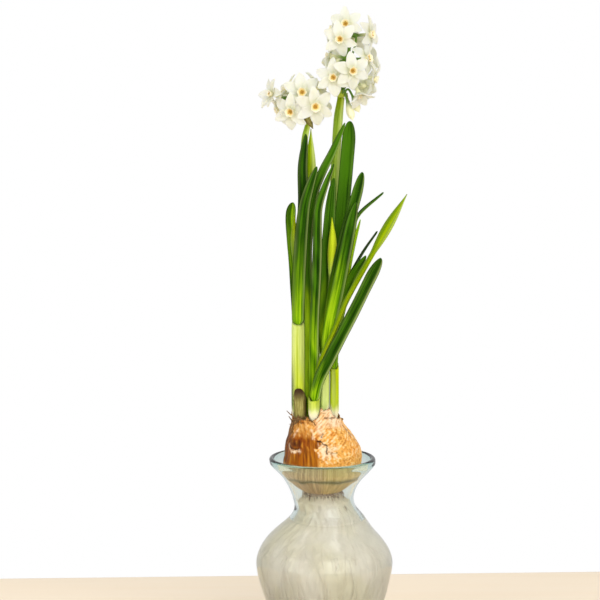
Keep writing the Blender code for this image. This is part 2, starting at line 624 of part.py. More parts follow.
def tepal_points(middle, axes, angle, bend_back, reach, close):
    """Front and back points of one tepal, a blade that leaves the hub between two of its corners."""
    across, over, out = axes
    fold = math.radians(close)
    ray = math.cos(angle) * across + math.sin(angle) * over
    aside = np.cross(out, ray)
    along = math.cos(fold) * ray + math.sin(fold) * out
    normal = math.cos(fold) * out - math.sin(fold) * ray
    root = HUB_RADIUS * math.cos(math.pi / 6)
    points = []
    for distance, half in TEPAL_ROWS:
        length = distance * reach - root
        spine = middle + root * ray + length * along - bend_back * (length / TEPAL_TIP) ** 2 * normal
        wide = min(half * reach, TEPAL_ROOM * (root + length * math.cos(fold)))
        side, thick = wide * aside, TEPAL_THICKNESS / 2 * normal
        points += [spine - side + thick, spine + side + thick]
        points += [spine + side - thick, spine - side - thick]
    length = TEPAL_TIP * reach - root
    spine = middle + root * ray + length * along - bend_back * (length / TEPAL_TIP) ** 2 * normal
    return points + [spine + 0.35 * normal, spine - 0.35 * normal]


def tepal_faces(corners, start):
    """Triangles of one tepal. corners are its four points on the hub, in the order of its own rows."""
    faces = []
    rows = [corners, list(range(start, start + 4)), list(range(start + 4, start + 8))]
    for here, there in zip(rows, rows[1:]):
        for a, b in ((0, 1), (1, 2), (3, 0)):
            faces += [(here[a], here[b], there[b]), (here[a], there[b], there[a])]
        faces += [(here[2], here[3], there[2]), (here[3], there[3], there[2])]
    a, b, c, d = rows[-1]
    front, back = start + 8, start + 9
    faces += [(a, b, front), (c, d, back), (b, c, back)]
    return faces + [(b, back, front), (d, a, front), (d, front, back)]


def floret(name, look, foot, place, collection):
    """One floret in one closed mesh: cup, hub, six tepals, tube, ovary and a bent pedicel."""
    x, y, z, clockwise, up, turn, reach, close = place
    middle = np.array([x, y, z])
    axes = star_axes(clockwise, up, turn)
    across, over, out = axes
    corners = np.radians(30.0 + 60.0 * np.arange(6))[:, None]

    def ring(centre, radius, first, second):
        return centre + radius * (np.cos(corners) * first + np.sin(corners) * second)

    half = HUB_THICKNESS / 2
    front = [ring(middle + height * out, radius, across, over) for radius, height in CUP[::-1]]
    front.append(ring(middle + half * out, HUB_RADIUS, across, over))
    back = [ring(middle - half * out, HUB_RADIUS - 0.1, across, over)]
    back += [ring(middle - depth * out, radius, across, over) for radius, depth in TUBE_RINGS]
    start = middle - TUBE_RINGS[-1][1] * out
    foot = np.asarray(foot, float)
    length = np.linalg.norm(start - foot)
    rising = unit(start - foot + np.array([0.0, 0.0, 0.2 * length]))
    controls = (start, start - min(0.35 * length, 6.0) * out, foot + 0.35 * length * rising, foot)
    t = np.array([0.0, 0.5, 1.0])[:, None]
    path = (1 - t) ** 3 * controls[0] + 3 * t * (1 - t) ** 2 * controls[1]
    path = path + 3 * t**2 * (1 - t) * controls[2] + t**3 * controls[3]
    first = across
    for here, before in zip(path[1:], path):
        backwards = unit(before - here)
        first = unit(first - np.dot(first, backwards) * backwards)
        back.append(ring(here, PEDICEL_RADIUS, first, np.cross(backwards, first)))
    points = [point for circle in front + back for point in circle]
    front_hub, back_hub = 6 * (len(front) - 1), 6 * len(front)
    faces = ring_faces(len(front), 6, caps=False) + [(0, 1, 2, 3, 4, 5)]
    for row in range(len(front), len(front) + len(back) - 1):
        for side in range(6):
            after = (side + 1) % 6
            faces.append((6 * row + side, 6 * row + after, 6 * row + 6 + after))
            faces.append((6 * row + side, 6 * row + 6 + after, 6 * row + 6 + side))
    faces.append(tuple(range(len(points) - 6, len(points))))
    for number in range(6):
        before = (number - 1) % 6
        hub = [front_hub + before, front_hub + number, back_hub + number, back_hub + before]
        faces += tepal_faces(hub, len(points))
        bend_back = 1.4 if number % 2 else 3.2
        points += tepal_points(middle, axes, math.radians(60 * number), bend_back, reach, close)
    return new_object(name, points, faces, look, collection)


def hanging_bud(name, look, foot, ends, collection):
    """A floret that is still closed: a bent pedicel and a plump pointed bud."""
    top, tip = np.asarray(ends[0], float), np.asarray(ends[1], float)
    foot = np.asarray(foot, float)
    high = (foot + top) / 2 + np.array([0.0, -1.5, 4.0])
    share = np.array([0.0, 0.25, 0.55, 0.8, 1.0])[:, None]
    path = np.vstack([[foot], [high], top + (tip - top) * share])
    wide = HANGING_BUD_RADIUS
    radii = np.array([0.9, 0.9, 1.3, 0.75 * wide, wide, 0.75 * wide, 0.5])
    rings = tube(path, radii, 6)
    return new_object(name, rings.reshape(-1, 3), ring_faces(len(path), 6), look, collection)


def make_flower_head(name, look, top, florets, buds=()):
    """All the florets of one stalk, joined at a small knob that stands on the stalk's end."""
    top = np.asarray(top, float)
    heights = np.array([FIT_GAP, 1.4, 4.4, 6.4])[:, None]
    path = top + heights * np.array([0.0, 0.0, 1.0])
    rings = tube(path, np.array([2.0, 3.3, 3.4, 1.8]), 8)
    knob = new_object(name, rings.reshape(-1, 3), ring_faces(len(path), 8), look)
    middle = top + np.array([0.0, 0.0, 3.2])

    def foot_towards(place):
        towards = unit(np.asarray(place, float) - middle)
        return middle + KNOB_REACH * unit(np.maximum(towards, [-1.0, -1.0, -0.1]))

    collection = bpy.data.collections.new(f"{name}_pieces")
    bpy.context.scene.collection.children.link(collection)
    pieces = []
    for number, place in enumerate(florets):
        back = TUBE_RINGS[-1][1] * facing_vector(*place[3:5])
        foot = foot_towards(np.array(place[:3]) - back)
        pieces.append(floret(f"{name}_{number}", look, foot, place, collection))
    for number, ends in enumerate(buds):
        foot = foot_towards(ends[0])
        pieces.append(hanging_bud(f"{name}_bud_{number}", look, foot, ends, collection))
    union_into(knob, f"{name}_joined", pieces)
    bpy.data.collections.remove(collection)
    return knob


def main():
    clear_scene()
    glass = material("glass", GLASS_COLOUR, 0.03, 1.0)
    water = material("water", WATER_COLOUR, 0.0, 1.0)
    tunic = material("tunic", TUNIC_COLOUR, 0.55)
    root = material("root", ROOT_COLOUR, 0.6)
    sheath = material("sheath", SHEATH_COLOUR, 0.5)
    leaf = material("leaf", LEAF_COLOUR, 0.4)
    stalk = material("stalk", STALK_COLOUR, 0.45)
    bud = material("bud", BUD_COLOUR, 0.45)
    petal = material("petal", PETAL_COLOUR, 0.5)
    bract = material("bract", BRACT_COLOUR, 0.7)
    make_vase(glass)
    make_water(water)
    make_bulb(tunic)
    make_roots(root)
    for name, values in SHEATHS.items():
        make_sheath(name, sheath, *values)
    for name, values in LEAVES.items():
        make_leaf(name, leaf, *values)
    for name, values in BUD_STALKS.items():
        make_bud_stalk(name, bud, *values)
    for name, values in SCAPES.items():
        make_scape(name, stalk, *values)
    for name, values in BRACTS.items():
        make_bract(name, bract, *values)
    make_flower_head("flower_head_left", petal, SCAPES["scape_left"][2][-1], LEFT_FLORETS)
    make_flower_head("flower_head_right", petal, SCAPES["scape_right"][2][-1], RIGHT_FLORETS, HANGING_BUDS)


main()
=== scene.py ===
# %% [markdown]
# # A paperwhite narcissus in a glass forcing vase
#
# A forced paperwhite stands in the mouth of a waisted vase: its bulb rests on the flared glass, its
# roots hang into the water, and its shoots carry leaves, closed buds and two heads of white flowers.
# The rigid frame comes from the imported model. Every piece here is laid over one of its solids, in the
# same place, and shows what a plain solid can't: glass, papery skin, veins, petals.
#
# One could sculpt such a plant by hand, or scatter scanned leaves. Here each piece is instead a
# surface worked out with numpy from a few measured numbers, so that every form can be read and changed.

import math

import bpy
import numpy as np
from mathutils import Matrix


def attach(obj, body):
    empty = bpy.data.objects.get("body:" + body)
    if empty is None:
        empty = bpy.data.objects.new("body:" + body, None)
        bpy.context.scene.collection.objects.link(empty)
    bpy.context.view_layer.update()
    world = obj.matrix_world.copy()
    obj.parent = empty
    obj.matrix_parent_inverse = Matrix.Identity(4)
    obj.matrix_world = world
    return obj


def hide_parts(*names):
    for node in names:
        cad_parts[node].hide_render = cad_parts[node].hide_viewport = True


MM = 0.001
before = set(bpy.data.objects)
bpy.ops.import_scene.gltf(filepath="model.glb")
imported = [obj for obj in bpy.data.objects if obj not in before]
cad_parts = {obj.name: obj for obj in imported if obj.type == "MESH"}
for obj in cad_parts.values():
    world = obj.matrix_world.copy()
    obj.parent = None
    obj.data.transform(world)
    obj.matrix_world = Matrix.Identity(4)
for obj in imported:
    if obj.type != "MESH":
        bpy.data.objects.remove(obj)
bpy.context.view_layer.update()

# %% [markdown]
# ## Camera
#
# The picture was taken from about the height of the lower flowers, looking slightly down, with a long
# lens: the vase's mouth shows as a thin ellipse and nothing spreads towards the edges. A longer distance
# would flatten the ellipse further and a shorter one would open it.

# %% Camera
CAMERA_PLACE = (-0.0159, -1.300, 0.4045)
CAMERA_DOWN = 6.6
LENS = 109.8

scene = bpy.context.scene
camera = bpy.data.objects.new("camera", bpy.data.cameras.new("camera"))
camera.data.lens = LENS
camera.data.clip_end = 20.0
camera.location = CAMERA_PLACE
camera.rotation_euler = (math.radians(90.0 - CAMERA_DOWN), 0.0, 0.0)
scene.collection.objects.link(camera)
scene.camera = camera
print("camera", round(math.degrees(2 * math.atan(18 / LENS)), 2), "degrees wide")

# %% [markdown]
# ## Numbers into shapes
#
# Leaves, stalks, roots, petals, the bulb and even the vase have one thing in common: each is a row of
# rings. A ring is a closed line of points, and a skin joins each ring to the next. Bezier curves with a
# bevel could make the plain stalks, but not a leaf whose section changes along its length. So one
# function joins rings, for many tubes at once, and every piece only has to say where its rings lie.

# %% Small helpers
def smoothstep(x):
    """0 below 0, 1 above 1, and 3 x^2 - 2 x^3 in between."""
    x = np.clip(x, 0.0, 1.0)
    return x * x * (3.0 - 2.0 * x)


def bell(x):
    """The bell curve exp(-x^2)."""
    return np.exp(-np.square(x))


def unit(vectors):
    """The vectors divided by their length, along the last axis."""
    vectors = np.asarray(vectors, float)
    return vectors / np.maximum(np.linalg.norm(vectors, axis=-1, keepdims=True), 1e-12)


def circle(sides):
    """That many angles, evenly round a full turn."""
    return 2 * np.pi * np.arange(sides) / sides


def facing_vector(rightwards, up=0.0):
    """The direction that many degrees from the viewer towards the viewer's right, and up."""
    turn, rise = np.broadcast_arrays(np.radians(rightwards), np.radians(up))
    return np.stack([np.sin(turn) * np.cos(rise), -np.cos(turn) * np.cos(rise), np.sin(rise)], axis=-1)


def curve_through(points, count):
    """Points evenly spaced along a Catmull-Rom curve: a cubic between each two given points whose slope
    at a point is half the step from the point before it to the point after."""
    given = np.asarray(points, float)
    ends = np.vstack([2 * given[0] - given[1], given, 2 * given[-1] - given[-2]])
    before, start, end, after = ends[:-3, None], ends[1:-2, None], ends[2:-1, None], ends[3:, None]
    step = np.linspace(0.0, 1.0, 24, endpoint=False)[None, :, None]
    bend = 2 * before - 5 * start + 4 * end - after
    twist = -before + 3 * start - 3 * end + after
    fine = 0.5 * (2 * start + (end - before) * step + bend * step**2 + twist * step**3)
    fine = np.vstack([fine.reshape(-1, given.shape[1]), given[-1:]])
    along = np.concatenate([[0.0], np.cumsum(np.linalg.norm(np.diff(fine, axis=0), axis=1))])
    wanted = np.linspace(0.0, along[-1], count)
    return np.column_stack([np.interp(wanted, along, column) for column in fine.T])


def uneven(points, size, seed, waves=7):
    """Smooth unevenness from about -1 to 1: a sum of plane waves of about that size, in directions and
    phases drawn from the seed."""
    draw = np.random.default_rng(seed)
    directions = unit(draw.normal(size=(waves, 3))) * (2 * np.pi / size) * draw.uniform(0.6, 1.6, (waves, 1))
    phases = draw.uniform(0, 2 * np.pi, waves)
    return np.sin(np.asarray(points) @ directions.T + phases).sum(axis=-1) / math.sqrt(waves)


def turned(profile, sides, squash=1.0):
    """Rings of a profile (radius, height) about the vertical axis, from the viewer's side towards the
    right; squash is their depth against their width."""
    angle = circle(sides)
    radius, height = profile[:, 0:1], profile[:, 1:2]
    x, y = radius * np.sin(angle), -radius * np.cos(angle) * squash
    return np.stack([x, y, np.broadcast_to(height, x.shape)], axis=-1)


# %% Rings into skins
def skin(rings, capped=True, **values):
    """The faces over rings of points, of shape (tubes, rows, sides, 3): four corners between two points
    of one ring and the same two of the next. Capped ends get a fan round their middle point, and without
    caps the last row joins the first. Values are one number or vector for each point."""
    rings = np.asarray(rings, float)
    rings = rings[None] if rings.ndim == 3 else rings
    tubes, rows, sides = rings.shape[:3]
    each = rows * sides + (2 if capped else 0)
    start = each * np.arange(tubes)[:, None, None]
    row, side = np.arange(rows - 1 if capped else rows)[:, None], np.arange(sides)[None, :]
    here, there, after = row * sides, (row + 1) % rows * sides, (side + 1) % sides
    quads = np.stack([here + side, here + after, there + after, there + side], axis=-1).reshape(1, -1, 4)
    faces = [(quads + start).reshape(-1, 4)]

    def flat(value):
        value = np.asarray(value, float)
        value = np.broadcast_to(value, (tubes, rows, sides) + (value.shape[3:] if value.ndim == 4 else ()))
        both = value.reshape(tubes, rows * sides, -1)
        if capped:
            ends = [value[:, end].mean(axis=1).reshape(tubes, 1, -1) for end in (0, -1)]
            both = np.concatenate([both, *ends], axis=1)
        return both.reshape(tubes * each, -1)

    if capped:
        around, beyond = np.arange(sides), (np.arange(sides) + 1) % sides
        first = np.stack([np.full(sides, rows * sides), beyond, around], axis=-1)
        last = (rows - 1) * sides
        final = np.stack([np.full(sides, rows * sides + 1), last + around, last + beyond], axis=-1)
        faces.append((np.concatenate([first, final])[None] + start).reshape(-1, 3))
    return flat(rings), faces, {name: flat(value) for name, value in values.items()}


def carrying(rings, grain, carried, capped=True):
    """The skin of one tube, with the place where its grain is read and what else it carries."""
    return skin(rings, capped, grain=grain[None], **{name: value[None] for name, value in carried.items()})


def outwards(points, faces):
    """The faces, turned round if their skin is inside out. Over a closed skin the sum of each face's
    area vector times its middle is three times the volume inside."""
    inside = 0.0
    for each in faces:
        corners = (points - points.mean(axis=0))[each]
        inside += (np.cross(corners, np.roll(corners, -1, axis=1)).sum(axis=1) * corners.mean(axis=1)).sum()
    return faces if inside > 0 else [each[:, ::-1] for each in faces]


def new_mesh(name, skins, look):
    """An object of several skins, with what they carry at their points as attributes."""
    starts = np.cumsum([0] + [len(points) for points, _, _ in skins])
    points = np.concatenate([points for points, _, _ in skins])
    faces = []
    for start, (own, own_faces, _) in zip(starts, skins):
        faces += [each + start for each in outwards(own, own_faces)]
    corners = np.concatenate([each.ravel() for each in faces]).astype(np.int32)
    sizes = np.concatenate([np.full(len(each), each.shape[1]) for each in faces])
    mesh = bpy.data.meshes.new(name)
    mesh.vertices.add(len(points))
    mesh.vertices.foreach_set("co", (points * MM).astype(np.float32).ravel())
    mesh.loops.add(len(corners))
    mesh.loops.foreach_set("vertex_index", corners)
    mesh.polygons.add(len(sizes))
    mesh.polygons.foreach_set("loop_start", np.concatenate([[0], np.cumsum(sizes)[:-1]]).astype(np.int32))
    mesh.update(calc_edges=True)
    for label in skins[0][2]:
        value = np.concatenate([values[label] for _, _, values in skins]).astype(np.float32)
        kind, field = ("FLOAT", "value") if value.shape[1] == 1 else ("FLOAT_VECTOR", "vector")
        mesh.attributes.new(label, kind, "POINT").data.foreach_set(field, value.ravel())
    mesh.shade_smooth()
    mesh.materials.append(look.material)
    made = bpy.data.objects.new(name, mesh)
    scene.collection.objects.link(made)
    print(f"{name}: {(sizes - 2).sum()} triangles")
    return made


def new_piece(name, skins, look, nodes):
    """A piece of the object: it rides on the root body, takes the given finish and hides the CAD nodes that
    it is laid over."""
    piece = new_mesh(name, skins, look)
    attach(piece, "root")
    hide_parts(*nodes)
    return piece


def carried_frames(paths, first):
    """Two vectors square to a path at each of its points, for many paths at once. The first one is
    carried from point to point and only loses what points along the path, so the frame doesn't twist."""
    paths = np.asarray(paths, float)
    along = unit(np.gradient(paths, axis=-2))
    side = np.empty_like(paths)
    carried = np.broadcast_to(np.asarray(first, float), paths[..., 0, :].shape)
    for row in range(paths.shape[-2]):
        here = along[..., row, :]
        carried = unit(carried - (carried * here).sum(-1, keepdims=True) * here)
        side[..., row, :] = carried
    return side, np.cross(along, side)


def tube(paths, radii, sides, first=(1.0, 0.0, 0.0), squash=1.0):
    """Rings round paths: side * cos + forwards * sin, times the radius at each point of the path."""
    side, forwards = carried_frames(paths, first)
    angle = circle(sides)[:, None]
    radii = np.broadcast_to(radii, np.shape(paths)[:-1])[..., None, None]
    across = np.cos(angle) * side[..., None, :] + squash * np.sin(angle) * forwards[..., None, :]
    return np.asarray(paths)[..., None, :] + radii * across


# %% [markdown]
# ## Writing finishes as sums
#
# A finish is a network of shader nodes. Wired by hand it soon becomes hard to follow, so one small class
# wraps a socket and lets plain Python arithmetic add the Math nodes. Everything else goes through one
# method that makes any node, sets its settings first and then its sockets.

# %% A class for sockets and a class for finishes
class Tone:
    """A socket of a finish. Arithmetic on it adds Math nodes."""

    def __init__(self, finish, socket):
        self.finish, self.socket = finish, socket

    def math(self, operation, first, second=0.0):
        return self.finish.node("ShaderNodeMath", {"operation": operation}, {0: first, 1: second})

    def __add__(self, other):
        return self.math("ADD", self, other)

    def __sub__(self, other):
        return self.math("SUBTRACT", self, other)

    def __rsub__(self, other):
        return self.math("SUBTRACT", other, self)

    def __mul__(self, other):
        return self.math("MULTIPLY", self, other)

    __radd__, __rmul__ = __add__, __mul__


class Finish:
    """A material and its node tree, with a Principled shader."""

    def __init__(self, name, sockets):
        self.material = bpy.data.materials.new(name)
        self.material.use_nodes = True
        self.tree = self.material.node_tree
        self.shader = self.tree.nodes["Principled BSDF"]
        self.output = self.tree.nodes["Material Output"]
        self.wire(self.shader, sockets)

    def wire(self, node, sockets):
        for name, value in sockets.items():
            if isinstance(value, Tone):
                self.tree.links.new(value.socket, node.inputs[name])
            else:
                node.inputs[name].default_value = value

    def node(self, kind, settings, sockets, output=0):
        """Any node: its settings are set first and then its sockets."""
        made = self.tree.nodes.new(kind)
        for name, value in settings.items():
            setattr(made, name, value)
        self.wire(made, sockets)
        return Tone(self, made.outputs[output])

    def ramp(self, value, *stops):
        """A colour that runs through the stops, each a place from 0 to 1 and the colour there."""
        tone = self.node("ShaderNodeValToRGB", {}, {0: value})
        elements = tone.socket.node.color_ramp.elements
        elements[0].position, elements[0].color = stops[0]
        elements[1].position, elements[1].color = stops[-1]
        for place, colour in stops[1:-1]:
            elements.new(place).color = colour
        return tone

    def value(self, name):
        """One number that the piece carries at its points."""
        return self.node("ShaderNodeAttribute", {"attribute_name": name}, {}, "Fac")

    def vector(self, name):
        """One vector that the piece carries at its points."""
        return self.node("ShaderNodeAttribute", {"attribute_name": name}, {}, "Vector")

    def place(self, scale=(1.0, 1.0, 1.0)):
        """Where a point is on the object, in millimetres times the scale."""
        at = self.node("ShaderNodeTexCoord", {}, {}, "Object")
        sizes = tuple(each / MM for each in scale)
        return self.node("ShaderNodeVectorMath", {"operation": "MULTIPLY"}, {0: at, 1: sizes})

    def stretched(self, vector, scale):
        return self.node("ShaderNodeVectorMath", {"operation": "MULTIPLY"}, {0: vector, 1: scale})

    def noise(self, vector, scale=1.0, detail=2.0, rough=0.5, warp=0.0):
        """Cloudy noise from 0 to 1."""
        sockets = {"Vector": vector, "Scale": scale, "Detail": detail, "Roughness": rough, "Distortion": warp}
        return self.node("ShaderNodeTexNoise", {}, sockets)

    def between(self, value, low, high, start=0.0, end=1.0):
        """start below low, end above high, and a smooth step between."""
        sockets = {"Value": value, "From Min": low, "From Max": high, "To Min": start, "To Max": end}
        return self.node("ShaderNodeMapRange", {"interpolation_type": "SMOOTHSTEP"}, sockets)

    def mix(self, share, first, second, how="MIX"):
        """Two colours mixed by a share."""
        settings = {"data_type": "RGBA", "blend_type": how, "clamp_factor": True}
        return self.node("ShaderNodeMix", settings, {0: share, 6: first, 7: second}, 2)

    def bump(self, height, depth, strength=1.0):
        """A normal from a height of 0 to 1 that stands for that many millimetres."""
        sockets = {"Height": height, "Distance": depth * MM, "Strength": strength}
        self.wire(self.shader, {"Normal": self.node("ShaderNodeBump", {}, sockets)})

    def colour(self, tone):
        self.wire(self.shader, {"Base Color": tone})

    def shares(self, other, share):
        """Mixes the Principled shader with another one by a share."""
        principled = Tone(self, self.shader.outputs[0])
        mixed = self.node("ShaderNodeMixShader", {}, {0: share, 1: principled, 2: other})
        self.wire(self.output, {"Surface": mixed})


def rgb(red, green, blue):
    """A colour given as it looks on a screen, from 0 to 255, as the linear numbers that shaders use."""
    seen = np.array([red, green, blue]) / 255
    linear = np.where(seen <= 0.04045, seen / 12.92, ((seen + 0.055) / 1.055) ** 2.4)
    return (*linear.tolist(), 1.0)


# %% [markdown]
# ## Glass
#
# The vase is clear blown glass with a green cast that comes from iron in it. The cast shows most where
# one looks along the wall, so the ends of the rim and the edges of the belly are teal while the middle is
# nearly colourless. A tinted surface would be the same everywhere, so the glass absorbs light in its
# depth, more red than green or blue, and only the rolled rim has some tint of its own, the same all the
# way round, with a dark band of painted shade along the outside of its roll. Lamps would cast a black
# shadow through solid glass, so their rays pass through it tinted.

# %% Glass finish
glass = Finish("blown_glass", {"Roughness": 0.0, "IOR": 1.48, "Transmission Weight": 1.0})
clear_glass = glass.mix(glass.value("teal"), rgb(252, 253, 251), rgb(196, 226, 220))
# The dark teal band on the outside of the rim is painted shade, laid over the glass's own tint.
glass.colour(glass.mix(glass.value("edge"), clear_glass, rgb(16, 124, 114)))
passing = glass.node("ShaderNodeBsdfTransparent", {}, {"Color": rgb(246, 249, 247)})
glass.shares(passing, glass.node("ShaderNodeLightPath", {}, {}, "Is Shadow Ray"))
absorbed = glass.node("ShaderNodeVolumeAbsorption", {}, {"Color": (0.26, 0.70, 0.62, 1.0), "Density": 32.0})
glass.wire(glass.output, {"Volume": absorbed})
print("glass finish", len(glass.tree.nodes), "nodes")

# %% Vase wall
OUTER_WALL = (
    (27.5, 0.0), (31.0, 2.6), (38.2, 22.5), (45.0, 40.5), (49.2, 60.0), (47.8, 70.0), (42.8, 78.6),
    (35.0, 87.3), (27.6, 95.5), (22.6, 102.8), (21.8, 109.5), (24.2, 117.5), (28.4, 124.6),
    (33.6, 130.4), (37.8, 135.0),
)
VASE_HEIGHT, VASE_WALL, RIM_WALL, RIM_TAPER_FROM = 140.0, 2.4, 4.2, 124.0
# How far the hand-blown wall stands to the right of the axis: height and shift
LEAN = (
    (0, 0.0), (20, 1.4), (34, 2.2), (50, 1.9), (64, 1.8), (80, 1.6), (86, 1.9), (92, 3.2), (96, 3.9),
    (100, 3.5), (104, 2.5), (108, 1.5), (113, 0.8), (121, 0.5), (128, 0.9), (134, 0.6), (140, 0.1),
)
FLOOR_HEIGHT = 7.5
RIM_MIDDLE, RIM_ROLL = (36.55, 138.2), 1.8
WALL_ROWS, RIM_ROWS, INNER_WALL_TOP = 150, 15, 136.2
VASE_SIDES = 180


def leaned(rings):
    """Points moved to the right by the smooth curve through the lean's places, read at their height."""
    lean = np.interp(rings[..., 2], *curve_through(LEAN, 200).T)
    return rings + lean[..., None] * np.array([1.0, 0.0, 0.0])


def inner_wall(extra=0.0):
    """The outer wall moved inwards, square to itself, by the glass's thickness and the extra, and the
    round floor inside."""
    outer = curve_through(OUTER_WALL, WALL_ROWS)
    along = unit(np.gradient(outer, axis=0))
    rise = smoothstep((outer[:, 1] - RIM_TAPER_FROM) / (VASE_HEIGHT - RIM_TAPER_FROM))
    thick = VASE_WALL + (RIM_WALL - VASE_WALL) * rise + extra
    moved = outer - thick[:, None] * np.column_stack([along[:, 1], -along[:, 0]])
    floor = np.array([[8.0, FLOOR_HEIGHT], [22.0, FLOOR_HEIGHT + 0.7], [29.0, FLOOR_HEIGHT + 4.5]])
    floor = floor + extra * np.array([[0.0, 1.0], [-0.2, 1.0], [-0.7, 0.7]])
    return curve_through(np.vstack([floor, moved[moved[:, 1] > 20.0][::5]]), WALL_ROWS)


def vase_rings():
    """The foot, the outer wall, a rolled rim of half a circle and the inner wall, turned, with the slight
    waves of hand-blown glass."""
    outer = curve_through(OUTER_WALL + ((RIM_MIDDLE[0] + RIM_ROLL, RIM_MIDDLE[1]),), WALL_ROWS + 6)
    bend = np.radians(np.linspace(10, 182, RIM_ROWS))
    rim = np.column_stack([RIM_MIDDLE[0] + RIM_ROLL * np.cos(bend), RIM_MIDDLE[1] + RIM_ROLL * np.sin(bend)])
    inner = inner_wall()
    inner = inner[inner[:, 1] < INNER_WALL_TOP]
    foot = np.array([[14.0, 1.2], [21.0, 1.0], [23.8, 0.3], [25.6, 0.0]])
    rings = turned(np.vstack([foot, outer, rim, inner[::-1]]), VASE_SIDES)
    wave = uneven(rings, 46.0, 11) * 0.20 + uneven(rings * [1.0, 1.0, 0.35], 21.0, 12) * 0.06
    away_from_foot = smoothstep(rings[..., 2] / 12.0) * (1 - smoothstep((rings[..., 2] - 128.0) / 8.0))
    return leaned(rings + unit(rings * [1.0, 1.0, 0.0]) * (wave * away_from_foot)[..., None])


def rim_shade_and_teal(rings):
    """How teal the glass is, a smooth step up to the rim, and how dark the outside of the rolled rim is, a
    bell over the height; that dark band is painted shade over the glass's tint. Both depend on height and
    radius alone, so the rim is the same all round."""
    x, y, z = np.moveaxis(rings, -1, 0)
    teal = 0.45 * smoothstep((z - 130.0) / 8.6)
    edge = 0.8 * bell((z - 139.3) / 0.75) * (np.hypot(x, y) > 35.8)
    return {"edge": edge[None], "teal": teal[None]}


wall_rings = vase_rings()
new_piece("glass_vase", [skin(wall_rings, **rim_shade_and_teal(wall_rings))], glass, ["vase"])

# %% [markdown]
# ## Water
#
# The water fills the belly and creeps up the wall a little at its edge. Light must meet glass and water
# without a layer of air between, so the water's skin runs half a millimetre inside the glass. After
# weeks under a bulb it isn't clear any more, so a share of it scatters light as milk does.

# %% Water
WATER_LEVEL = 93.5
WATER_INTO_GLASS = 0.5
CREEP_HEIGHT, CREEP_WIDTH = 1.2, 1.4

water_finish = Finish("clouded_water", {"Roughness": 0.10, "IOR": 1.33, "Transmission Weight": 0.84})
drift = water_finish.noise(water_finish.place((0.09, 0.09, 0.012)), 1.0, 3.0, 0.6)
water_finish.colour(water_finish.mix(drift, rgb(240, 229, 218), rgb(255, 248, 242)))
clear = water_finish.node("ShaderNodeBsdfTransparent", {}, {"Color": rgb(248, 248, 244)})
water_finish.shares(clear, water_finish.node("ShaderNodeLightPath", {}, {}, "Is Shadow Ray"))


def water_rings():
    """The inner wall up to the water level, and a surface that rises at its edge by the creep's height
    times exp(-distance / the creep's width)."""
    wall = inner_wall(-WATER_INTO_GLASS)
    wall = wall[wall[:, 1] < WATER_LEVEL + CREEP_HEIGHT]
    edge = wall[-1, 0]
    radius = edge * np.array([0.985, 0.96, 0.93, 0.88, 0.8, 0.6, 0.3, 0.1])
    surface = np.column_stack([radius, WATER_LEVEL + CREEP_HEIGHT * np.exp(-(edge - radius) / CREEP_WIDTH)])
    return leaned(turned(np.vstack([wall, surface]), VASE_SIDES))


new_piece("vase_water", [skin(water_rings())], water_finish, ["water"])

# %% [markdown]
# ## Roots
#
# Hundreds of thin roots leave the basal plate, fill the waist to its wall, follow the shoulder and hang
# in the belly, where they mat together. A hair system would make strands, but hair isn't a mesh. Each
# root is a tube of five sides, all computed together, and the mat behind them, where no single
# root can be told apart, is one turned body with ridges that run as the roots do. Dead brown stubs of
# last year's roots hang round the plate.

# %% Root finish
root_finish = Finish("living_root", {"Roughness": 0.5})
old = root_finish.value("old")
cloud = root_finish.noise(root_finish.place((0.25, 0.25, 0.04)), detail=3.0)
warm = root_finish.between(root_finish.noise(root_finish.place((0.03, 0.03, 0.02)), 1.0), 0.4, 0.65)
young = root_finish.mix(cloud, rgb(246, 233, 224), rgb(214, 199, 188))
young = root_finish.mix(warm * 0.6, young, rgb(218, 203, 164))
root_finish.colour(root_finish.mix(old, young, rgb(104, 66, 38)))
root_finish.bump(root_finish.noise(root_finish.place(), 1.2), 0.15, 0.5)

# %% Where the roots run
BULB_BOTTOM = 115.2
ROOTS, ROOT_ROWS, ROOT_SIDES = 420, 32, 5
STUBS, STUB_ROWS = 56, 7
MAT_ROWS, MAT_SIDES = 100, 280
NECK_FROM, SHOULDER_FROM = 104.0, 97.0


def root_paths():
    """A root's distance from the axis goes from its start on the plate to its share of the waist's room,
    and then to its share of the belly's room, most of them near the glass; its angle drifts and wobbles
    by sines. A soft minimum keeps it 0.8 mm off the wall."""
    draw = np.random.default_rng(4)
    share = np.linspace(0.0, 1.0, ROOT_ROWS)[None, :]
    turn = draw.uniform(0, 2 * np.pi, (ROOTS, 1))
    order = draw.uniform(0, 1, (ROOTS, 1))
    start = 4.0 + 8.6 * np.sqrt(order)
    waist = 18.6 * np.sqrt(order)
    reach = 45.5 * draw.uniform(0.1, 1.0, (ROOTS, 1)) ** 0.4
    end = draw.uniform(9.5, 40.0, (ROOTS, 1))
    top = BULB_BOTTOM - 0.8
    z = top + (end - top) * share
    neck, belly = smoothstep((top - z) / (top - NECK_FROM)), smoothstep((SHOULDER_FROM - z) / 30.0)
    radius = start + (waist - start) * neck + (reach - waist) * belly
    turn = turn + draw.uniform(-0.45, 0.45, (ROOTS, 1)) * belly * share
    wobble = draw.uniform(0, 2 * np.pi, (ROOTS, 2))
    radius = radius + (0.3 + 1.2 * belly) * np.sin(share * draw.uniform(8, 17, (ROOTS, 1)) + wobble[:, :1])
    turn = turn + 0.035 * np.sin(share * draw.uniform(7, 15, (ROOTS, 1)) + wobble[:, 1:]) * (0.3 + belly)
    turn = turn + 0.5 * smoothstep((34.0 - z) / 24.0) * draw.uniform(-1.0, 1.4, (ROOTS, 1))
    wall = inner_wall()
    room = np.interp(z, wall[:, 1], wall[:, 0]) - 0.8
    radius = np.abs(room - np.log1p(np.exp((room - np.abs(radius)) * 1.5)) / 1.5)
    return leaned(np.stack([radius * np.sin(turn), -radius * np.cos(turn), z], axis=-1))


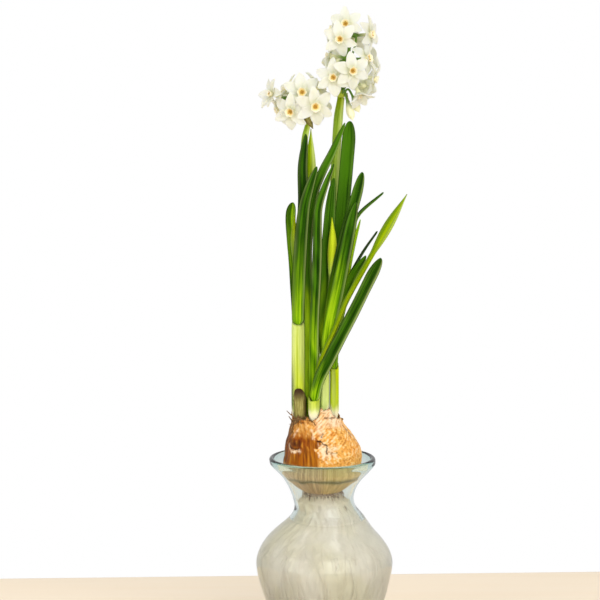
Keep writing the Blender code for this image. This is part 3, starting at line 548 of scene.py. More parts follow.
def mat_rings():
    """The matted middle: the room inside the glass less 3 mm in the belly, 5 mm at the shoulder and 1 mm
    in the waist, up to a cone below the plate; its ridges are waves, long downwards and short across."""
    wall = inner_wall()
    z = np.linspace(13.0, 113.0, MAT_ROWS)
    room = np.interp(z, wall[:, 1], wall[:, 0])
    inset = 3.0 + 2.0 * smoothstep((z - 60.0) / 25.0) - 3.9 * smoothstep((z - 88.0) / 11.0)
    radius = np.minimum(room - inset, 11.8 + 1.5 * (113.4 - z))
    ends = np.sqrt(np.clip((z - 12.0) / 8.0, 0, 1))
    rings = turned(np.column_stack([radius * ends, z]), MAT_SIDES)
    ridges = uneven(rings * [1.0, 1.0, 0.07], 3.2, 7) * 0.7 + uneven(rings * [1.0, 1.0, 0.12], 1.7, 8) * 0.25
    return leaned(rings + unit(rings * [1.0, 1.0, 0.0]) * (ridges * ends[:, None])[..., None])


# %% Root mass
def root_skins():
    """The roots, which thin to a quarter at their tips, the mat, the stubs, which hang outwards and down
    from the plate's edge, and the plate."""
    draw = np.random.default_rng(5)
    paths = root_paths()
    share = np.linspace(0.0, 1.0, ROOT_ROWS)[None, :]
    thick = draw.uniform(0.34, 0.6, (ROOTS, 1)) * (1 - 0.75 * smoothstep((share - 0.86) / 0.14))
    stain = 0.6 * draw.uniform(0, 1, (ROOTS, 1)) ** 2 * (1 - smoothstep((share - 0.1) / 0.15))
    stained = np.broadcast_to(stain[..., None], paths.shape[:2] + (ROOT_SIDES,))
    roots = skin(tube(paths, thick, ROOT_SIDES), old=stained)
    mat = mat_rings()
    turn = draw.uniform(0, 2 * np.pi, (STUBS, 1))
    fall = np.linspace(0.0, 1.0, STUB_ROWS)[None, :]
    length = 1.6 + 6.4 * draw.uniform(0, 1, (STUBS, 1)) ** 1.8
    start = draw.uniform(11.4, 13.4, (STUBS, 1))
    spread = 2.6 + 1.8 * draw.uniform(-1, 1, (STUBS, 1))
    radius = start + spread * np.sqrt(fall)
    z = BULB_BOTTOM + 1.6 - length * fall**1.3
    turn = turn + 0.16 * draw.uniform(-1, 1, (STUBS, 1)) * fall
    stubs = np.stack([radius * np.sin(turn), -radius * np.cos(turn), z], axis=-1)
    thin = draw.uniform(0.26, 0.5, (STUBS, 1)) * (1 - 0.8 * fall**2)
    dead = np.broadcast_to(0.45 + 0.55 * draw.uniform(0, 1, (STUBS, 1, 1)), (STUBS, STUB_ROWS, ROOT_SIDES))
    profile = np.array([[4.0, -3.6], [9.0, -3.4], [12.0, -2.4], [13.0, -0.8], [12.4, 0.9], [6.0, 1.8]])
    plate = turned(profile + [0.0, BULB_BOTTOM], 48)
    plate = plate + unit(plate * [1.0, 1.0, 0.0]) * (0.5 * uneven(plate, 4.0, 6))[..., None]
    matted = skin(mat, old=0.2 * smoothstep((mat[..., 2] - 90.0) / 6.0)[None])
    hanging = skin(tube(stubs, thin, ROOT_SIDES), old=dead)
    return [roots, matted, hanging, skin(plate, old=np.full((1,) + plate.shape[:2], 0.7))]


new_piece("root_mass", root_skins(), root_finish, ["roots"])

# %% [markdown]
# ## Bulb
#
# The bulb wears several papery tunics. On the left the outermost one is whole and dark chestnut, with
# fine ribs from plate to neck. On the right it has worn away to a golden skin, creased on the slant, and
# in front it has torn, so that cream skin shows round a dark crack. At the neck the dry skin stands on
# round the shoots as a torn collar. Sculpting would give one such bulb and no way to change it. Here the
# body is a turned form whose neck sits off-centre, and its relief and its worn places are worked out
# point by point from angle and height, as strokes drawn over the skin.

# %% Bulb outline and strokes
# Height, radius and sideways shift of the bulb, from its plate to the top of the collar
BULB_OUTLINE = np.array([
    (114.3, 7.0, 0.0), (114.9, 10.4, 0.0), (116.4, 13.8, 0.0), (118.8, 17.4, 0.0), (122.4, 21.9, 0.0),
    (126.8, 25.8, 0.0), (132.5, 27.8, 0.0), (137.7, 28.2, 0.0), (141.4, 28.2, 0.0), (145.1, 27.9, -0.2),
    (148.7, 27.2, -0.6), (152.4, 25.9, -1.4), (156.1, 24.1, -1.9), (159.7, 22.1, -2.4), (163.4, 19.8, -3.2),
    (167.0, 18.2, -3.8), (170.7, 17.3, -4.3), (174.3, 16.9, -4.5), (179.0, 16.6, -4.4),
])
NECK_DEPTH_SHARE = 0.80
COLLAR_FROM = 166.0
COLLAR_INSIDE_TO = 165.4
BULB_SIDES, BULB_ROWS, COLLAR_ROWS = 320, 290, 22

# How high the collar stands: degrees from the viewer towards the right, and height
COLLAR_TOP = np.array([
    (-180, 169.5), (-130, 171.0), (-95, 172.5), (-60, 171.3), (-40, 170.5), (-20, 169.5), (0, 169.8),
    (8, 172.0), (12, 177.6), (24, 177.2), (36, 178.2), (41, 173.0), (58, 170.0), (80, 168.5), (110, 169.5),
    (150, 170.5), (180, 169.5),
])

# Strokes over the skin: half width, strength, and points of (degrees towards the right, height)
DARK_STROKES = (
    (0.55, 1.0, ((-4.4, 155.4), (4.1, 154.3), (10.6, 151.9), (8.4, 150.0), (5.6, 148.1), (8.7, 146.5))),
    (0.55, 0.9, ((-64.1, 153.3), (-56.5, 149.7), (-43.9, 148.9), (-34.7, 149.9))),
    (2.50, 0.6, ((-60.0, 154.8), (-52.0, 152.6), (-42.0, 151.8), (-36.0, 153.0))),
    (0.80, 0.9, ((-65.1, 164.2), (-58.5, 159.3))),
    (0.40, 0.8, ((1.1, 157.7), (7.2, 160.4))),
    (0.45, 0.9, ((-20.7, 169.3), (-13.3, 169.8), (-4.0, 166.2))),
    (0.45, 0.8, ((21.1, 170.9), (36.4, 170.2), (55.0, 170.5))),
    (0.40, 0.7, ((68.5, 163.7), (71.1, 159.8), (81.6, 155.0), (90.0, 147.5), (90.0, 143.2))),
    (0.40, 0.9, ((-90.0, 172.9), (-67.9, 169.6), (-51.7, 168.5))),
    (0.40, 0.6, ((-64.3, 171.4), (-37.6, 170.6), (-22.2, 169.3))),
    (0.40, 0.6, ((-51.7, 166.8), (-30.4, 167.4))),
    (0.40, 0.9, ((10.0, 178.2), (27.1, 177.5), (37.4, 178.6))),
    (0.30, 0.7, ((11.0, 174.4), (22.7, 173.8))),
    (0.40, 0.5, ((12.0, 147.6), (18.0, 147.2), (24.0, 147.6))),
)
# The pale strokes are partly torn cream skin and partly painted highlight.
PALE_STROKES = (
    (0.95, 1.0, ((-60.5, 151.4), (-57.0, 148.4), (-50.1, 147.1), (-42.5, 147.3), (-34.8, 148.2))),
    (0.90, 0.7, ((-42.9, 162.3), (-51.6, 157.6))),
    (1.30, 1.0, ((11.3, 169.4), (5.7, 164.6), (2.6, 159.2), (3.2, 157.7))),
    (1.70, 1.0, ((13.0, 176.4), (24.0, 175.8), (35.0, 176.6))),
    (1.20, 0.9, ((4.0, 152.0), (1.0, 150.0), (3.0, 147.0), (6.0, 145.0))),
    (1.60, 0.8, ((13.0, 150.6), (16.0, 149.6), (22.0, 150.4))),
    (1.10, 0.8, ((13.0, 148.6), (17.0, 146.4), (21.0, 144.8))),
    (1.00, 0.8, ((66.5, 163.7), (69.3, 159.8), (79.3, 155.0), (87.0, 147.5), (87.0, 143.2))),
    (0.90, 0.6, ((-14.0, 162.4), (-10.0, 160.0), (-12.0, 157.0))),
)


def on_the_skin(strokes, degrees, height, radius):
    """For each point of the skin the strongest stroke over it: each stroke's strength times a bell curve
    of the distance to its line, measured on the skin, over its half width."""
    covered = np.zeros_like(height)
    for width, strength, line in strokes:
        for (from_angle, from_z), (to_angle, to_z) in zip(line, line[1:]):
            x, y = np.radians(degrees - from_angle) * radius, height - from_z
            end_x, end_y = np.radians(to_angle - from_angle) * radius, to_z - from_z
            share = np.clip((x * end_x + y * end_y) / (end_x**2 + end_y**2 + 1e-9), 0, 1)
            apart = np.hypot(x - share * end_x, y - share * end_y)
            covered = np.maximum(covered, strength * bell(apart / width))
    return covered


# %% Bulb skin
def slanting(across, height, tilt, long, short):
    """Places on the skin measured along and over a line of that tilt, in wrinkle lengths and breadths."""
    tilt = math.radians(tilt)
    along = across * math.cos(tilt) + height * math.sin(tilt)
    over = height * math.cos(tilt) - across * math.sin(tilt)
    return np.stack([along / long, over / short, 0 * over], axis=-1)


def wrinkles(at, degrees, height, left):
    """The skin's relief, from about -1 to 1. On the left fine ribs run upwards. On the right, high up, long
    creases rise at 33 degrees; lower down two sets of short creases cross, and a net of sharp folds, the
    lines where a sum of waves passes zero, lies over them. Behind, the creases give way to plain dents."""
    across = np.radians(degrees) * 24.0
    behind = smoothstep((np.abs(degrees) - 115.0) / 45.0)
    ribs = 0.7 * uneven(at * [1.0, 1.0, 0.045], 2.9, 24) + 0.5 * uneven(at * [1.0, 1.0, 0.06], 1.5, 25)
    high = smoothstep((height - 147.0 + 3.0 * uneven(at, 8.0, 27)) / 6.0)
    rising = uneven(slanting(across, height, 33, 8.0, 2.3), 1.0, 41, 15) + 0.5 * uneven(at, 2.2, 42)
    crossed = uneven(slanting(across, height, 42, 4.5, 1.7), 1.0, 43, 15)
    crossed = crossed + uneven(slanting(across, height, -48, 3.8, 1.6), 1.0, 44, 15)
    folds = 1.5 * bell(uneven(at, 3.4, 45) / 0.32) - 0.55
    right = (1 - behind) * (high * rising + (1 - high) * 0.55 * crossed) + 0.8 * (1 - high) * folds
    right = right + behind * uneven(at * [1.0, 1.0, 0.6], 4.0, 47, 15)
    return left * ribs + (1 - left) * np.clip(right, -1.4, 1.4)


def bulb_skin():
    """The turned outline up to the collar's torn top, over it and down inside, with the wrinkles and the
    relief of the tears on it. It carries how brown, pale and dark each point is, how far it stands out or
    lies deep in a wrinkle, and the point of an even cylinder where the streaks are read."""
    outline = curve_through(BULB_OUTLINE, BULB_ROWS)
    angle = circle(BULB_SIDES)
    degrees = np.degrees(np.angle(np.exp(1j * angle)))[None, :]
    ring = np.stack([np.sin(angle), -np.cos(angle), 0 * angle], axis=-1)[None]
    top = np.interp(degrees, *COLLAR_TOP.T) + 0.9 * uneven(ring * 17, 5.0, 31)
    top = top + 0.6 * uneven(ring * 17, 1.7, 32)
    body = outline[outline[:, 0] < COLLAR_FROM, 0][:, None] + 0 * degrees
    rising = np.linspace(0, 1, COLLAR_ROWS)[:, None]
    collar = COLLAR_FROM + (top - COLLAR_FROM) * rising
    inside = COLLAR_INSIDE_TO + (top - 0.2 - COLLAR_INSIDE_TO) * rising[::-4]
    height = np.vstack([body, collar, top + 0.05, inside])
    inset = np.repeat([0.0, 0.3, 0.6], [len(body) + len(collar), 1, len(inside)])[:, None]
    radius = np.interp(height, outline[:, 0], outline[:, 1])
    shift = np.interp(height, outline[:, 0], outline[:, 2])
    degrees = degrees + 0 * height
    neck = smoothstep((height - 127.0) / 39.0)
    at = radius[..., None] * ring + height[..., None] * np.array([0.0, 0.0, 1.0])
    free = smoothstep((height - 134.0) / 5.0)

    rough = 7.0 * uneven(at, 9.0, 21) + 3.0 * uneven(at, 3.5, 22)
    brown = 1 - smoothstep((degrees + 8.0 + rough * smoothstep((height - 142) / 10)) / (19.0 - 14.0 * free))
    brown = brown * smoothstep((degrees + 168.0 + rough) / 9.0)
    relief = wrinkles(at, degrees, height, brown)
    worn = brown * (1 - 0.55 * smoothstep((height - 154.0) / 8.0))
    # Strokes are read at a place that wanders, so that their edges are ragged
    wandering = degrees + 1.1 * uneven(at, 2.6, 33) + 0.5 * uneven(at, 1.2, 35)
    read_at = wandering, height + 0.35 * uneven(at, 2.6, 34)
    dark = on_the_skin(DARK_STROKES, *read_at, radius)
    dark = np.maximum(dark, 0.75 * bell((height - top - 0.1) / 0.6) * (height > 160))
    # Painted shade: the bulb's left side is darkened.
    dark = np.maximum(dark, 0.62 * brown * smoothstep((-60.0 - degrees + rough) / 22.0))
    chestnut_flap = brown * bell((degrees + 36.0) / 26.0) * bell((height - 153.0 + 0.5 * relief) / 4.6)
    # The pale strokes are painted paler on crests, as highlight.
    pale = on_the_skin(PALE_STROKES, *read_at, radius) * np.clip(0.9 + 0.3 * relief, 0.6, 1.0)
    torn = bell((degrees - 8.0) / 15.0) * bell((height - 149.5) / 7.0)
    torn = smoothstep((torn + 0.16 * uneven(at, 4.0, 23) + 0.16 * relief - 0.40) / 0.30)
    peach = 0.9 * bell((degrees - 44.0) / 34.0) * smoothstep((height - 161.5) / 5.0)
    whitish = 0.8 * bell((degrees - 3.0 + 0.25 * rough) / 7.0) * smoothstep((height - 158.0) / 4.0)
    # A dark line where the bulb touches the glass, partly damp and partly painted shade.
    contact_shade = bell((height - 127.9 - 0.5 * uneven(at, 11.0, 46)) / 1.5)

    swell = relief * (0.12 + 0.09 * (1 - brown)) * free + 0.35 * brown * free
    swell = swell - 0.45 * dark * (height > 140) + 0.30 * pale - 0.30 * torn + 0.35 * chestnut_flap
    hollow = 1.4 * smoothstep((height - 146.0) / 14.0) * bell((degrees + 7.0) / 15.0)
    swell = swell - hollow * (1 - rising_share(height))
    swell = swell + 0.35 * smoothstep((height - 134.0) / 12.0) * np.cos(8 * angle) * (1 - neck**4)
    swell = swell + 0.45 * uneven(at, 14.0, 28) * smoothstep((height - 118.0) / 12.0) * (1 - neck)
    flatter = 1.7 * bell((degrees + 92.0) / 48.0) * smoothstep((height - 132.0) / 14.0)
    swell = swell - flatter * (1 - 0.9 * smoothstep((height - 155.0) / 8.0))
    lip = (0.5 + 0.9 * uneven(at, 4.0, 29)) * smoothstep((height - top + 3.0) / 3.0)
    swell = swell + lip * (height > 160)
    out = radius - inset + swell * smoothstep((height - 114.6) / 5.0)
    deep = 1 - (1 - NECK_DEPTH_SHARE) * neck
    rings = np.stack([out * np.sin(angle) + shift, -out * np.cos(angle) * deep, height], axis=-1)
    grain = 28 * ring + height[..., None] * np.array([0.0, 0.0, 1.0])
    carried = {
        "brown": np.clip(worn + 0.3 * chestnut_flap, 0, 1),
        "pale": np.maximum.reduce([pale, 0.72 * torn, peach, whitish]),
        # The inside of the collar is painted dark as shade.
        "dark": np.maximum(dark, (inset > 0.5) * 0.5), "crest": relief * (0.25 + 0.75 * free),
        "flap": chestnut_flap, "contact_shade": contact_shade,
    }
    return carrying(rings, grain, carried)


def rising_share(height):
    """0 up to the collar and 1 from a little above it."""
    return smoothstep((height - 163.0) / 5.0)


# %% [markdown]
# The skin's colour has three grounds, chestnut, gold and cream, mixed by what the surface carries. Over
# them lie long streaks that run from plate to neck, stretched noise read round the bulb so that no seam
# shows. Wrinkles carry a painted highlight on their crests and painted shade in their folds. Where the
# bulb sits in the glass its skin is damp, duller and paler, with a dark line where it touches, partly
# damp and partly painted shade. The left side and the inside of the collar are painted darker as shade,
# and the pale strokes are partly painted highlight.

# %% Bulb finish
DAMP_FROM, DAMP_TO = 139.0, 135.0

tunic = Finish("papery_tunic", {"Specular IOR Level": 0.14})
grain = tunic.vector("grain")
streak = tunic.noise(tunic.stretched(grain, (1.0, 1.0, 0.055)), 0.75, 4.0, 0.62)
hair = tunic.noise(tunic.stretched(grain, (1.0, 1.0, 0.035)), 2.4, 2.0, 0.6)
blotch = tunic.noise(grain, 0.16, 3.0, 0.6)
net = tunic.noise(tunic.stretched(grain, (1.0, 1.0, 0.8)), 1.5, 3.0, 0.7, 0.8)
chestnut = tunic.ramp(
    streak * 0.55 + hair * 0.45, (0.30, rgb(74, 30, 2)), (0.44, rgb(138, 72, 6)), (0.56, rgb(180, 108, 14)),
    (0.70, rgb(222, 152, 38)))
gold = tunic.ramp(
    net * 0.62 + streak * 0.38, (0.28, rgb(190, 116, 30)), (0.45, rgb(230, 164, 72)),
    (0.58, rgb(246, 192, 108)), (0.76, rgb(255, 228, 168)))
brown, crest = tunic.value("brown"), tunic.value("crest")
ground = tunic.mix(brown, gold, chestnut)
ground = tunic.mix(tunic.between(blotch, 0.42, 0.68, 0.0, 0.5), ground, rgb(250, 206, 148), "MULTIPLY")
ground = tunic.mix(tunic.value("flap") * 0.75, ground, tunic.mix(hair, rgb(92, 34, 6), rgb(158, 72, 14)))
# Painted shade in the wrinkles' folds and a painted highlight on their crests.
fold_shade = tunic.mix(brown, rgb(168, 92, 26), rgb(76, 32, 4))
ground = tunic.mix(tunic.between(crest, -0.1, -1.1, 0.0, 0.55), ground, fold_shade)
crest_highlight = tunic.mix(brown, rgb(255, 236, 184), rgb(226, 156, 48))
ground = tunic.mix(tunic.between(crest, 0.25, 1.2, 0.0, 0.5), ground, crest_highlight)
cream = tunic.mix(hair, rgb(255, 240, 212), rgb(240, 202, 156))
# Cream skin is painted darker in the folds, as shade.
cream = tunic.mix(tunic.between(crest, 0.2, -0.9, 0.0, 0.55), cream, rgb(206, 146, 86))
ground = tunic.mix(tunic.value("pale"), ground, cream)
ground = tunic.mix(tunic.value("dark"), ground, rgb(40, 19, 6))
up = tunic.node("ShaderNodeSeparateXYZ", {}, {0: tunic.place()}, "Z")
lines = tunic.between(streak * 0.5 + hair * 0.5, 0.36, 0.64)
damp_gold = tunic.mix(lines, rgb(160, 128, 58), rgb(228, 200, 138))
damp_brown = tunic.mix(lines, rgb(156, 116, 70), rgb(226, 196, 148))
damp_skin = tunic.mix(brown, damp_gold, damp_brown)
ground = tunic.mix(tunic.between(up, DAMP_TO, DAMP_FROM, 0.82, 0.0), ground, damp_skin)
# The dark line where the bulb touches the glass is partly damp and partly painted shade.
tunic.colour(tunic.mix(tunic.value("contact_shade") * 0.8, ground, rgb(58, 60, 14)))
tunic.wire(tunic.shader, {"Roughness": tunic.between(streak, 0.3, 0.7, 0.34, 0.60)})
tunic.bump(streak * 0.3 + hair * 0.3 + net * 0.4, 0.5, 0.85)

new_piece("bulb_in_tunic", [bulb_skin()], tunic, ["bulb"])
print("bulb", round(2 * BULB_OUTLINE[:, 1].max(), 1), "mm across")

# %% [markdown]
# Torn threads of dry skin stick out where the left shoot leaves the bulb. Each is a thin tube: the longer
# ones follow curves through four given points, and the short ones are drawn from a seed.

# %% Threads at the neck
thread_finish = Finish("dry_thread", {"Roughness": 0.7})
tangle = thread_finish.noise(thread_finish.place(), 0.7, 2.0)
thread_finish.colour(thread_finish.mix(tangle, rgb(58, 34, 14), rgb(150, 112, 66)))
thread_finish.bump(tangle, 0.1, 0.6)

LONG_THREADS = (
    ((-25.4, -8.0, 175.2), (-22.4, -9.6, 172.6), (-18.6, -11.2, 170.2), (-13.6, -12.0, 167.6)),
    ((-24.0, -8.2, 171.4), (-22.4, -9.2, 169.2), (-21.0, -10.0, 167.0), (-20.6, -10.4, 165.2)),
    ((-21.6, -10.0, 168.6), (-17.6, -11.6, 170.4), (-13.2, -12.0, 169.2), (-9.8, -11.8, 171.6)),
    ((-20.2, -10.6, 166.0), (-21.4, -10.4, 163.4), (-22.2, -10.0, 161.2), (-22.0, -10.0, 158.6)),
    ((-12.4, -12.0, 171.4), (-9.4, -12.6, 170.0), (-6.6, -13.0, 167.6), (-4.8, -13.4, 165.6)),
)
SHORT_THREADS, THREAD_ROWS = 26, 16


def thread_skins():
    """Tubes that thin towards both ends. A drawn thread starts before the left shoot and runs 3 to 8 mm
    sideways, with a bend of its own."""
    draw = np.random.default_rng(12)
    start = np.array([-16.0, -11.2, 168.0]) + draw.uniform(-1, 1, (SHORT_THREADS, 3)) * [5.4, 0.7, 2.8]
    lean = np.radians(draw.uniform(-55, 55, (SHORT_THREADS, 1)))
    way = draw.choice([-1.0, 1.0], (SHORT_THREADS, 1)) * np.cos(lean)
    step = np.concatenate([way, 0.15 * way, np.sin(lean)], axis=1) * draw.uniform(3, 8, (SHORT_THREADS, 1))
    bend = draw.uniform(-1.6, 1.6, (SHORT_THREADS, 1)) * [0.3, 0.2, 1.0]
    share = np.linspace(0, 1, THREAD_ROWS)[None, :, None]
    drawn = start[:, None] + (share - 0.5) * step[:, None] + np.sin(np.pi * share) * bend[:, None]
    placed = np.stack([curve_through(points, THREAD_ROWS) for points in LONG_THREADS])
    thin = np.sin(np.pi * (0.1 + 0.8 * np.linspace(0, 1, THREAD_ROWS))) ** 0.5
    return [skin(tube(drawn, 0.24 * thin, 6)), skin(tube(placed, 0.42 * thin, 6))]


new_piece("neck_threads", thread_skins(), thread_finish, ["bulb"])

# %% [markdown]
# ## Green finishes
#
# Leaves, sheaths and stalks share one way of colouring. Long fine stripes run along each piece, because
# a narcissus leaf's veins run side by side from foot to tip. Low down, where little light comes, the
# green gives way to a bright yellow green. Each piece carries how fresh it is, how far across and along
# a point lies, and a shade of its own, so one finish serves them all.

# %% Green finish
STRIPE_STOPS = (0.36, 0.50, 0.64)


def green_finish(name, deep, middle, light, fresh_deep, fresh, fresh_light, ends):
    """Stripes between three greens, mixed with stripes between three yellow greens by how fresh a point
    is, with pale or dark margins, a greyer left border and ends of a colour of their own."""
    look = Finish(name, {"Roughness": 0.42, "Specular IOR Level": 0.05})
    grain = look.vector("grain")
    wide = look.noise(look.stretched(grain, (1.0, 1.0, 0.012)), 0.55, 2.0, 0.55)
    fine = look.noise(look.stretched(grain, (1.0, 1.0, 0.02)), 2.6, 2.0, 0.6)
    stripe = wide * 0.62 + fine * 0.38 + look.value("shade")
    green = look.ramp(stripe, *zip(STRIPE_STOPS, (deep, middle, light)))
    young = look.ramp(stripe, *zip(STRIPE_STOPS, (fresh_deep, fresh, fresh_light)))
    ground = look.mix(look.value("fresh"), green, young)
    # On leaves the grey is painted sheen, on stalks and sheaths painted shade; the pale is partly painted
    # highlight.
    ground = look.mix(look.value("grey"), ground, rgb(100, 116, 64))
    ground = look.mix(look.value("pale"), ground, rgb(214, 230, 142))
    ground = look.mix(look.value("dark"), ground, rgb(14, 38, 0))
    look.colour(look.mix(look.value("ends"), ground, ends))
    look.bump(fine * 0.6 + wide * 0.4, 0.22, 0.8)
    return look


leaf_finish = green_finish(
    "leaf_green", rgb(16, 44, 0), rgb(34, 74, 0), rgb(66, 114, 8), rgb(54, 96, 0), rgb(108, 158, 0),
    rgb(166, 206, 22), rgb(120, 96, 44))

# %% [markdown]
# ## Leaves
#
# Fourteen strap leaves. Each is a shallow gutter with a thick midrib and a blunt tip that follows its
# own path from the bulb, and turns its face a little on the way. A bent plane with a thickness modifier
# would have the same section everywhere. Here a ring of points round the section is carried along the
# path, so that width, gutter and thickness can all change with the height.

# %% Leaf table
STAND = 166.3
# Width, narrowing share at the tip, shoot, face turned from and to (degrees towards the right); height up
# to which it is fresh, length of the change, shade, grey left border of painted sheen, pale right margin
# that is partly painted highlight, how much darker its right half is in painted shade; and the points of
# its midrib. In its sheath a leaf is folded to a share of its width, and at the mouth it springs open to
# the width that the table of mouths gives, with the mouth's height
SHOOT_MOUTHS = {"left": (9.0, 237.0), "front": (7.6, 183.0), "middle": (5.8, 204.0), "right": (5.2, 205.0)}
LEAVES = {
    "leaf_left_front": ((9.4, 0.30, "left", 0, -8), (240, 60, -0.03, 0.8, 0.35, 0.03), (
        (-17.4, -5.0, STAND), (-17.3, -5.0, 233), (-16.9, -7.0, 257), (-15.6, -10.5, 289),
        (-13.2, -13.2, 318), (-9.6, -13.6, 334), (-4.0, -13.8, 350))),
    "leaf_left_tall": ((8.0, 0.22, "left", 0, 8), (230, 40, -0.06, 0.6, 0.3, 0.03), (
        (-17.4, -2.6, STAND), (-17.7, -2.6, 240), (-17.4, -3.2, 276), (-14.8, -4.6, 305),
        (-13.6, -5.4, 326), (-14.1, -5.2, 350), (-11.7, -5.0, 372.5))),
    "leaf_left_curled": ((7.6, 0.055, "left", 0, -16), (286, 50, 0.03, 0.25, 0.2, -0.08), (
        (-17.2, 5.7, STAND), (-17.7, 5.7, 232), (-19.8, 5.2, 275), (-21.4, 4.4, 297),
        (-22.4, 3.2, 313), (-21.0, 2.4, 323.8))),
    "leaf_long_arching": ((6.6, 0.26, "front", 0, 10), (236, 44, 0.08, 0.5, 0.5, 0.05), (
        (-9.9, -0.8, STAND), (-9.3, -1.2, 204), (-9.5, -3.2, 246), (-10.7, -5.2, 281), (-10.2, -7.0, 301),
        (-8.5, -8.8, 318), (-5.3, -9.8, 334), (0.3, -10.4, 347.5), (6.6, -11.0, 360), (15.6, -12.0, 380.5))),
    "leaf_centre_front": ((6.8, 0.34, "front", 0, 14), (218, 46, -0.03, 0.4, 0.6, 0.05), (
        (-6.2, -4.7, STAND), (-6.2, -5.4, 197), (-5.9, -8.6, 234), (-4.9, -10.8, 262), (-3.9, -12.6, 289),
        (-3.8, -13.8, 309), (-2.9, -14.4, 322), (1.6, -15.0, 336.5), (7.9, -15.6, 352))),
    "leaf_right_broad": ((8.8, 0.12, "front", 0, 20), (188, 18, -0.03, 0.35, 0.7, 0.05), (
        (-5.9, -10.2, STAND), (-5.4, -10.8, 184), (-2.2, -13.2, 199), (5.0, -15.8, 214.5),
        (13.1, -18.5, 231), (22.4, -22.0, 250), (34.1, -27.5, 275), (40.5, -31.0, 287))),
    "leaf_middle_broad": ((9.4, 0.20, "middle", 0, 10), (246, 44, -0.03, 0.3, 0.4, 0.04), (
        (1.9, -3.1, STAND), (1.9, -3.3, 202), (3.7, -7.4, 223), (6.1, -10.0, 241), (9.6, -12.0, 257),
        (13.1, -13.4, 275), (19.3, -15.2, 307), (23.4, -16.0, 325))),
    "leaf_middle_back": ((9.2, 0.30, "middle", 0, 4), (230, 40, 0.06, 0.2, 0.2, 0.02), (
        (1.9, 4.4, STAND), (1.9, 4.2, 203), (2.0, 1.6, 239), (2.7, -0.4, 268), (3.7, -1.6, 290),
        (6.1, -2.6, 326), (8.2, -2.6, 341.5))),
    "leaf_tall_upright": ((9.6, 0.07, "middle", 4, -6), (236, 40, 0.14, 0.1, 0.1, 0.09), (
        (1.9, 6.6, STAND), (1.8, 6.6, 204), (3.5, 5.8, 239), (7.0, 4.6, 268), (11.6, 3.2, 297),
        (14.7, 2.2, 322), (18.1, 1.2, 361), (19.5, 0.8, 381.5))),
    "leaf_right_upright": ((7.8, 0.10, "middle", 2, 6), (236, 40, -0.02, 0.3, 0.4, 0.04), (
        (1.9, -1.0, STAND), (2.0, -1.4, 203), (4.8, -5.0, 240), (7.6, -7.0, 262), (12.4, -9.0, 286.5),
        (16.8, -10.0, 305), (22.0, -10.8, 323), (28.0, -12.0, 346))),
    "leaf_right_back": ((5.2, 0.30, "right", 10, 60), (250, 60, 0.16, 0.2, 0.9, -0.05), (
        (8.7, 3.4, STAND), (8.6, 3.6, 203), (11.4, 5.0, 239), (17.0, 6.2, 282), (21.2, 5.4, 304),
        (26.6, 4.0, 316.5), (43.5, 0.6, 331))),
    "leaf_right_low": ((6.6, 0.18, "right", 0, 14), (250, 30, 0.02, 0.0, 0.3, 0.05), (
        (8.7, -3.6, STAND), (8.6, -3.6, 204), (9.8, -5.0, 230), (13.2, -6.6, 248), (17.4, -8.2, 262.5),
        (21.6, -9.6, 273), (30.7, -11.6, 287))),
    "leaf_right_narrow": ((4.0, 0.34, "right", 10, 72), (240, 30, -0.08, 0.4, 0.0, 0.0), (
        (8.8, -1.2, STAND), (8.7, -1.4, 203), (10.9, -2.5, 240), (16.2, -3.6, 265), (27.0, -4.8, 286.5),
        (39.0, -6.0, 304))),
    "leaf_right_pale": ((3.8, 0.30, "right", 0, 10), (300, 30, 0.10, 0.0, 0.4, 0.0), (
        (8.7, 1.2, STAND), (9.0, 1.2, 203), (12.8, 1.4, 247), (17.0, 1.0, 268), (21.9, 0.6, 293),
        (27.1, 0.0, 312))),
}
LEAF_THICKNESS, LEAF_EDGE, LEAF_CHANNEL = 1.5, 0.7, 1.0
LEAF_ROWS, FINE_ROWS, SECTION = 150, 400, 13
FOLDED, SPRING, UNFOLDING, UNFOLD_AFTER = 0.43, 3.0, 26.0, 2.0


def strap_section(path, half, facing, thick, edge, channel):
    """Rings of a strap. Across it u runs from -1 to 1; the thickness is edge + (thick - edge) * (1 - u^2),
    rounded at the edges, and the gutter lifts a point by channel * u^2 towards the face."""
    along = unit(np.gradient(path, axis=0))
    sideways = unit(np.cross(along, facing))
    normal = np.cross(sideways, along)
    swing = np.linspace(-1, 1, SECTION)
    u = np.concatenate([np.sin(swing * np.pi / 2), np.sin(swing[::-1] * np.pi / 2)])
    face = np.repeat([1.0, -1.0], SECTION)
    rounded = np.sqrt(np.maximum(1 - np.abs(u) ** 6, 0.0))
    depth = face * (edge + (thick - edge) * (1 - u**2)) * rounded / 2
    narrow = np.minimum(1.0, half / (0.7 * edge))[:, None]
    lift = depth * narrow + channel[:, None] * u**2 * (half / half.max())[:, None]
    across = sideways[:, None, :] * (half[:, None] * u)[..., None]
    return path[:, None, :] + across + normal[:, None, :] * lift[..., None], u, face


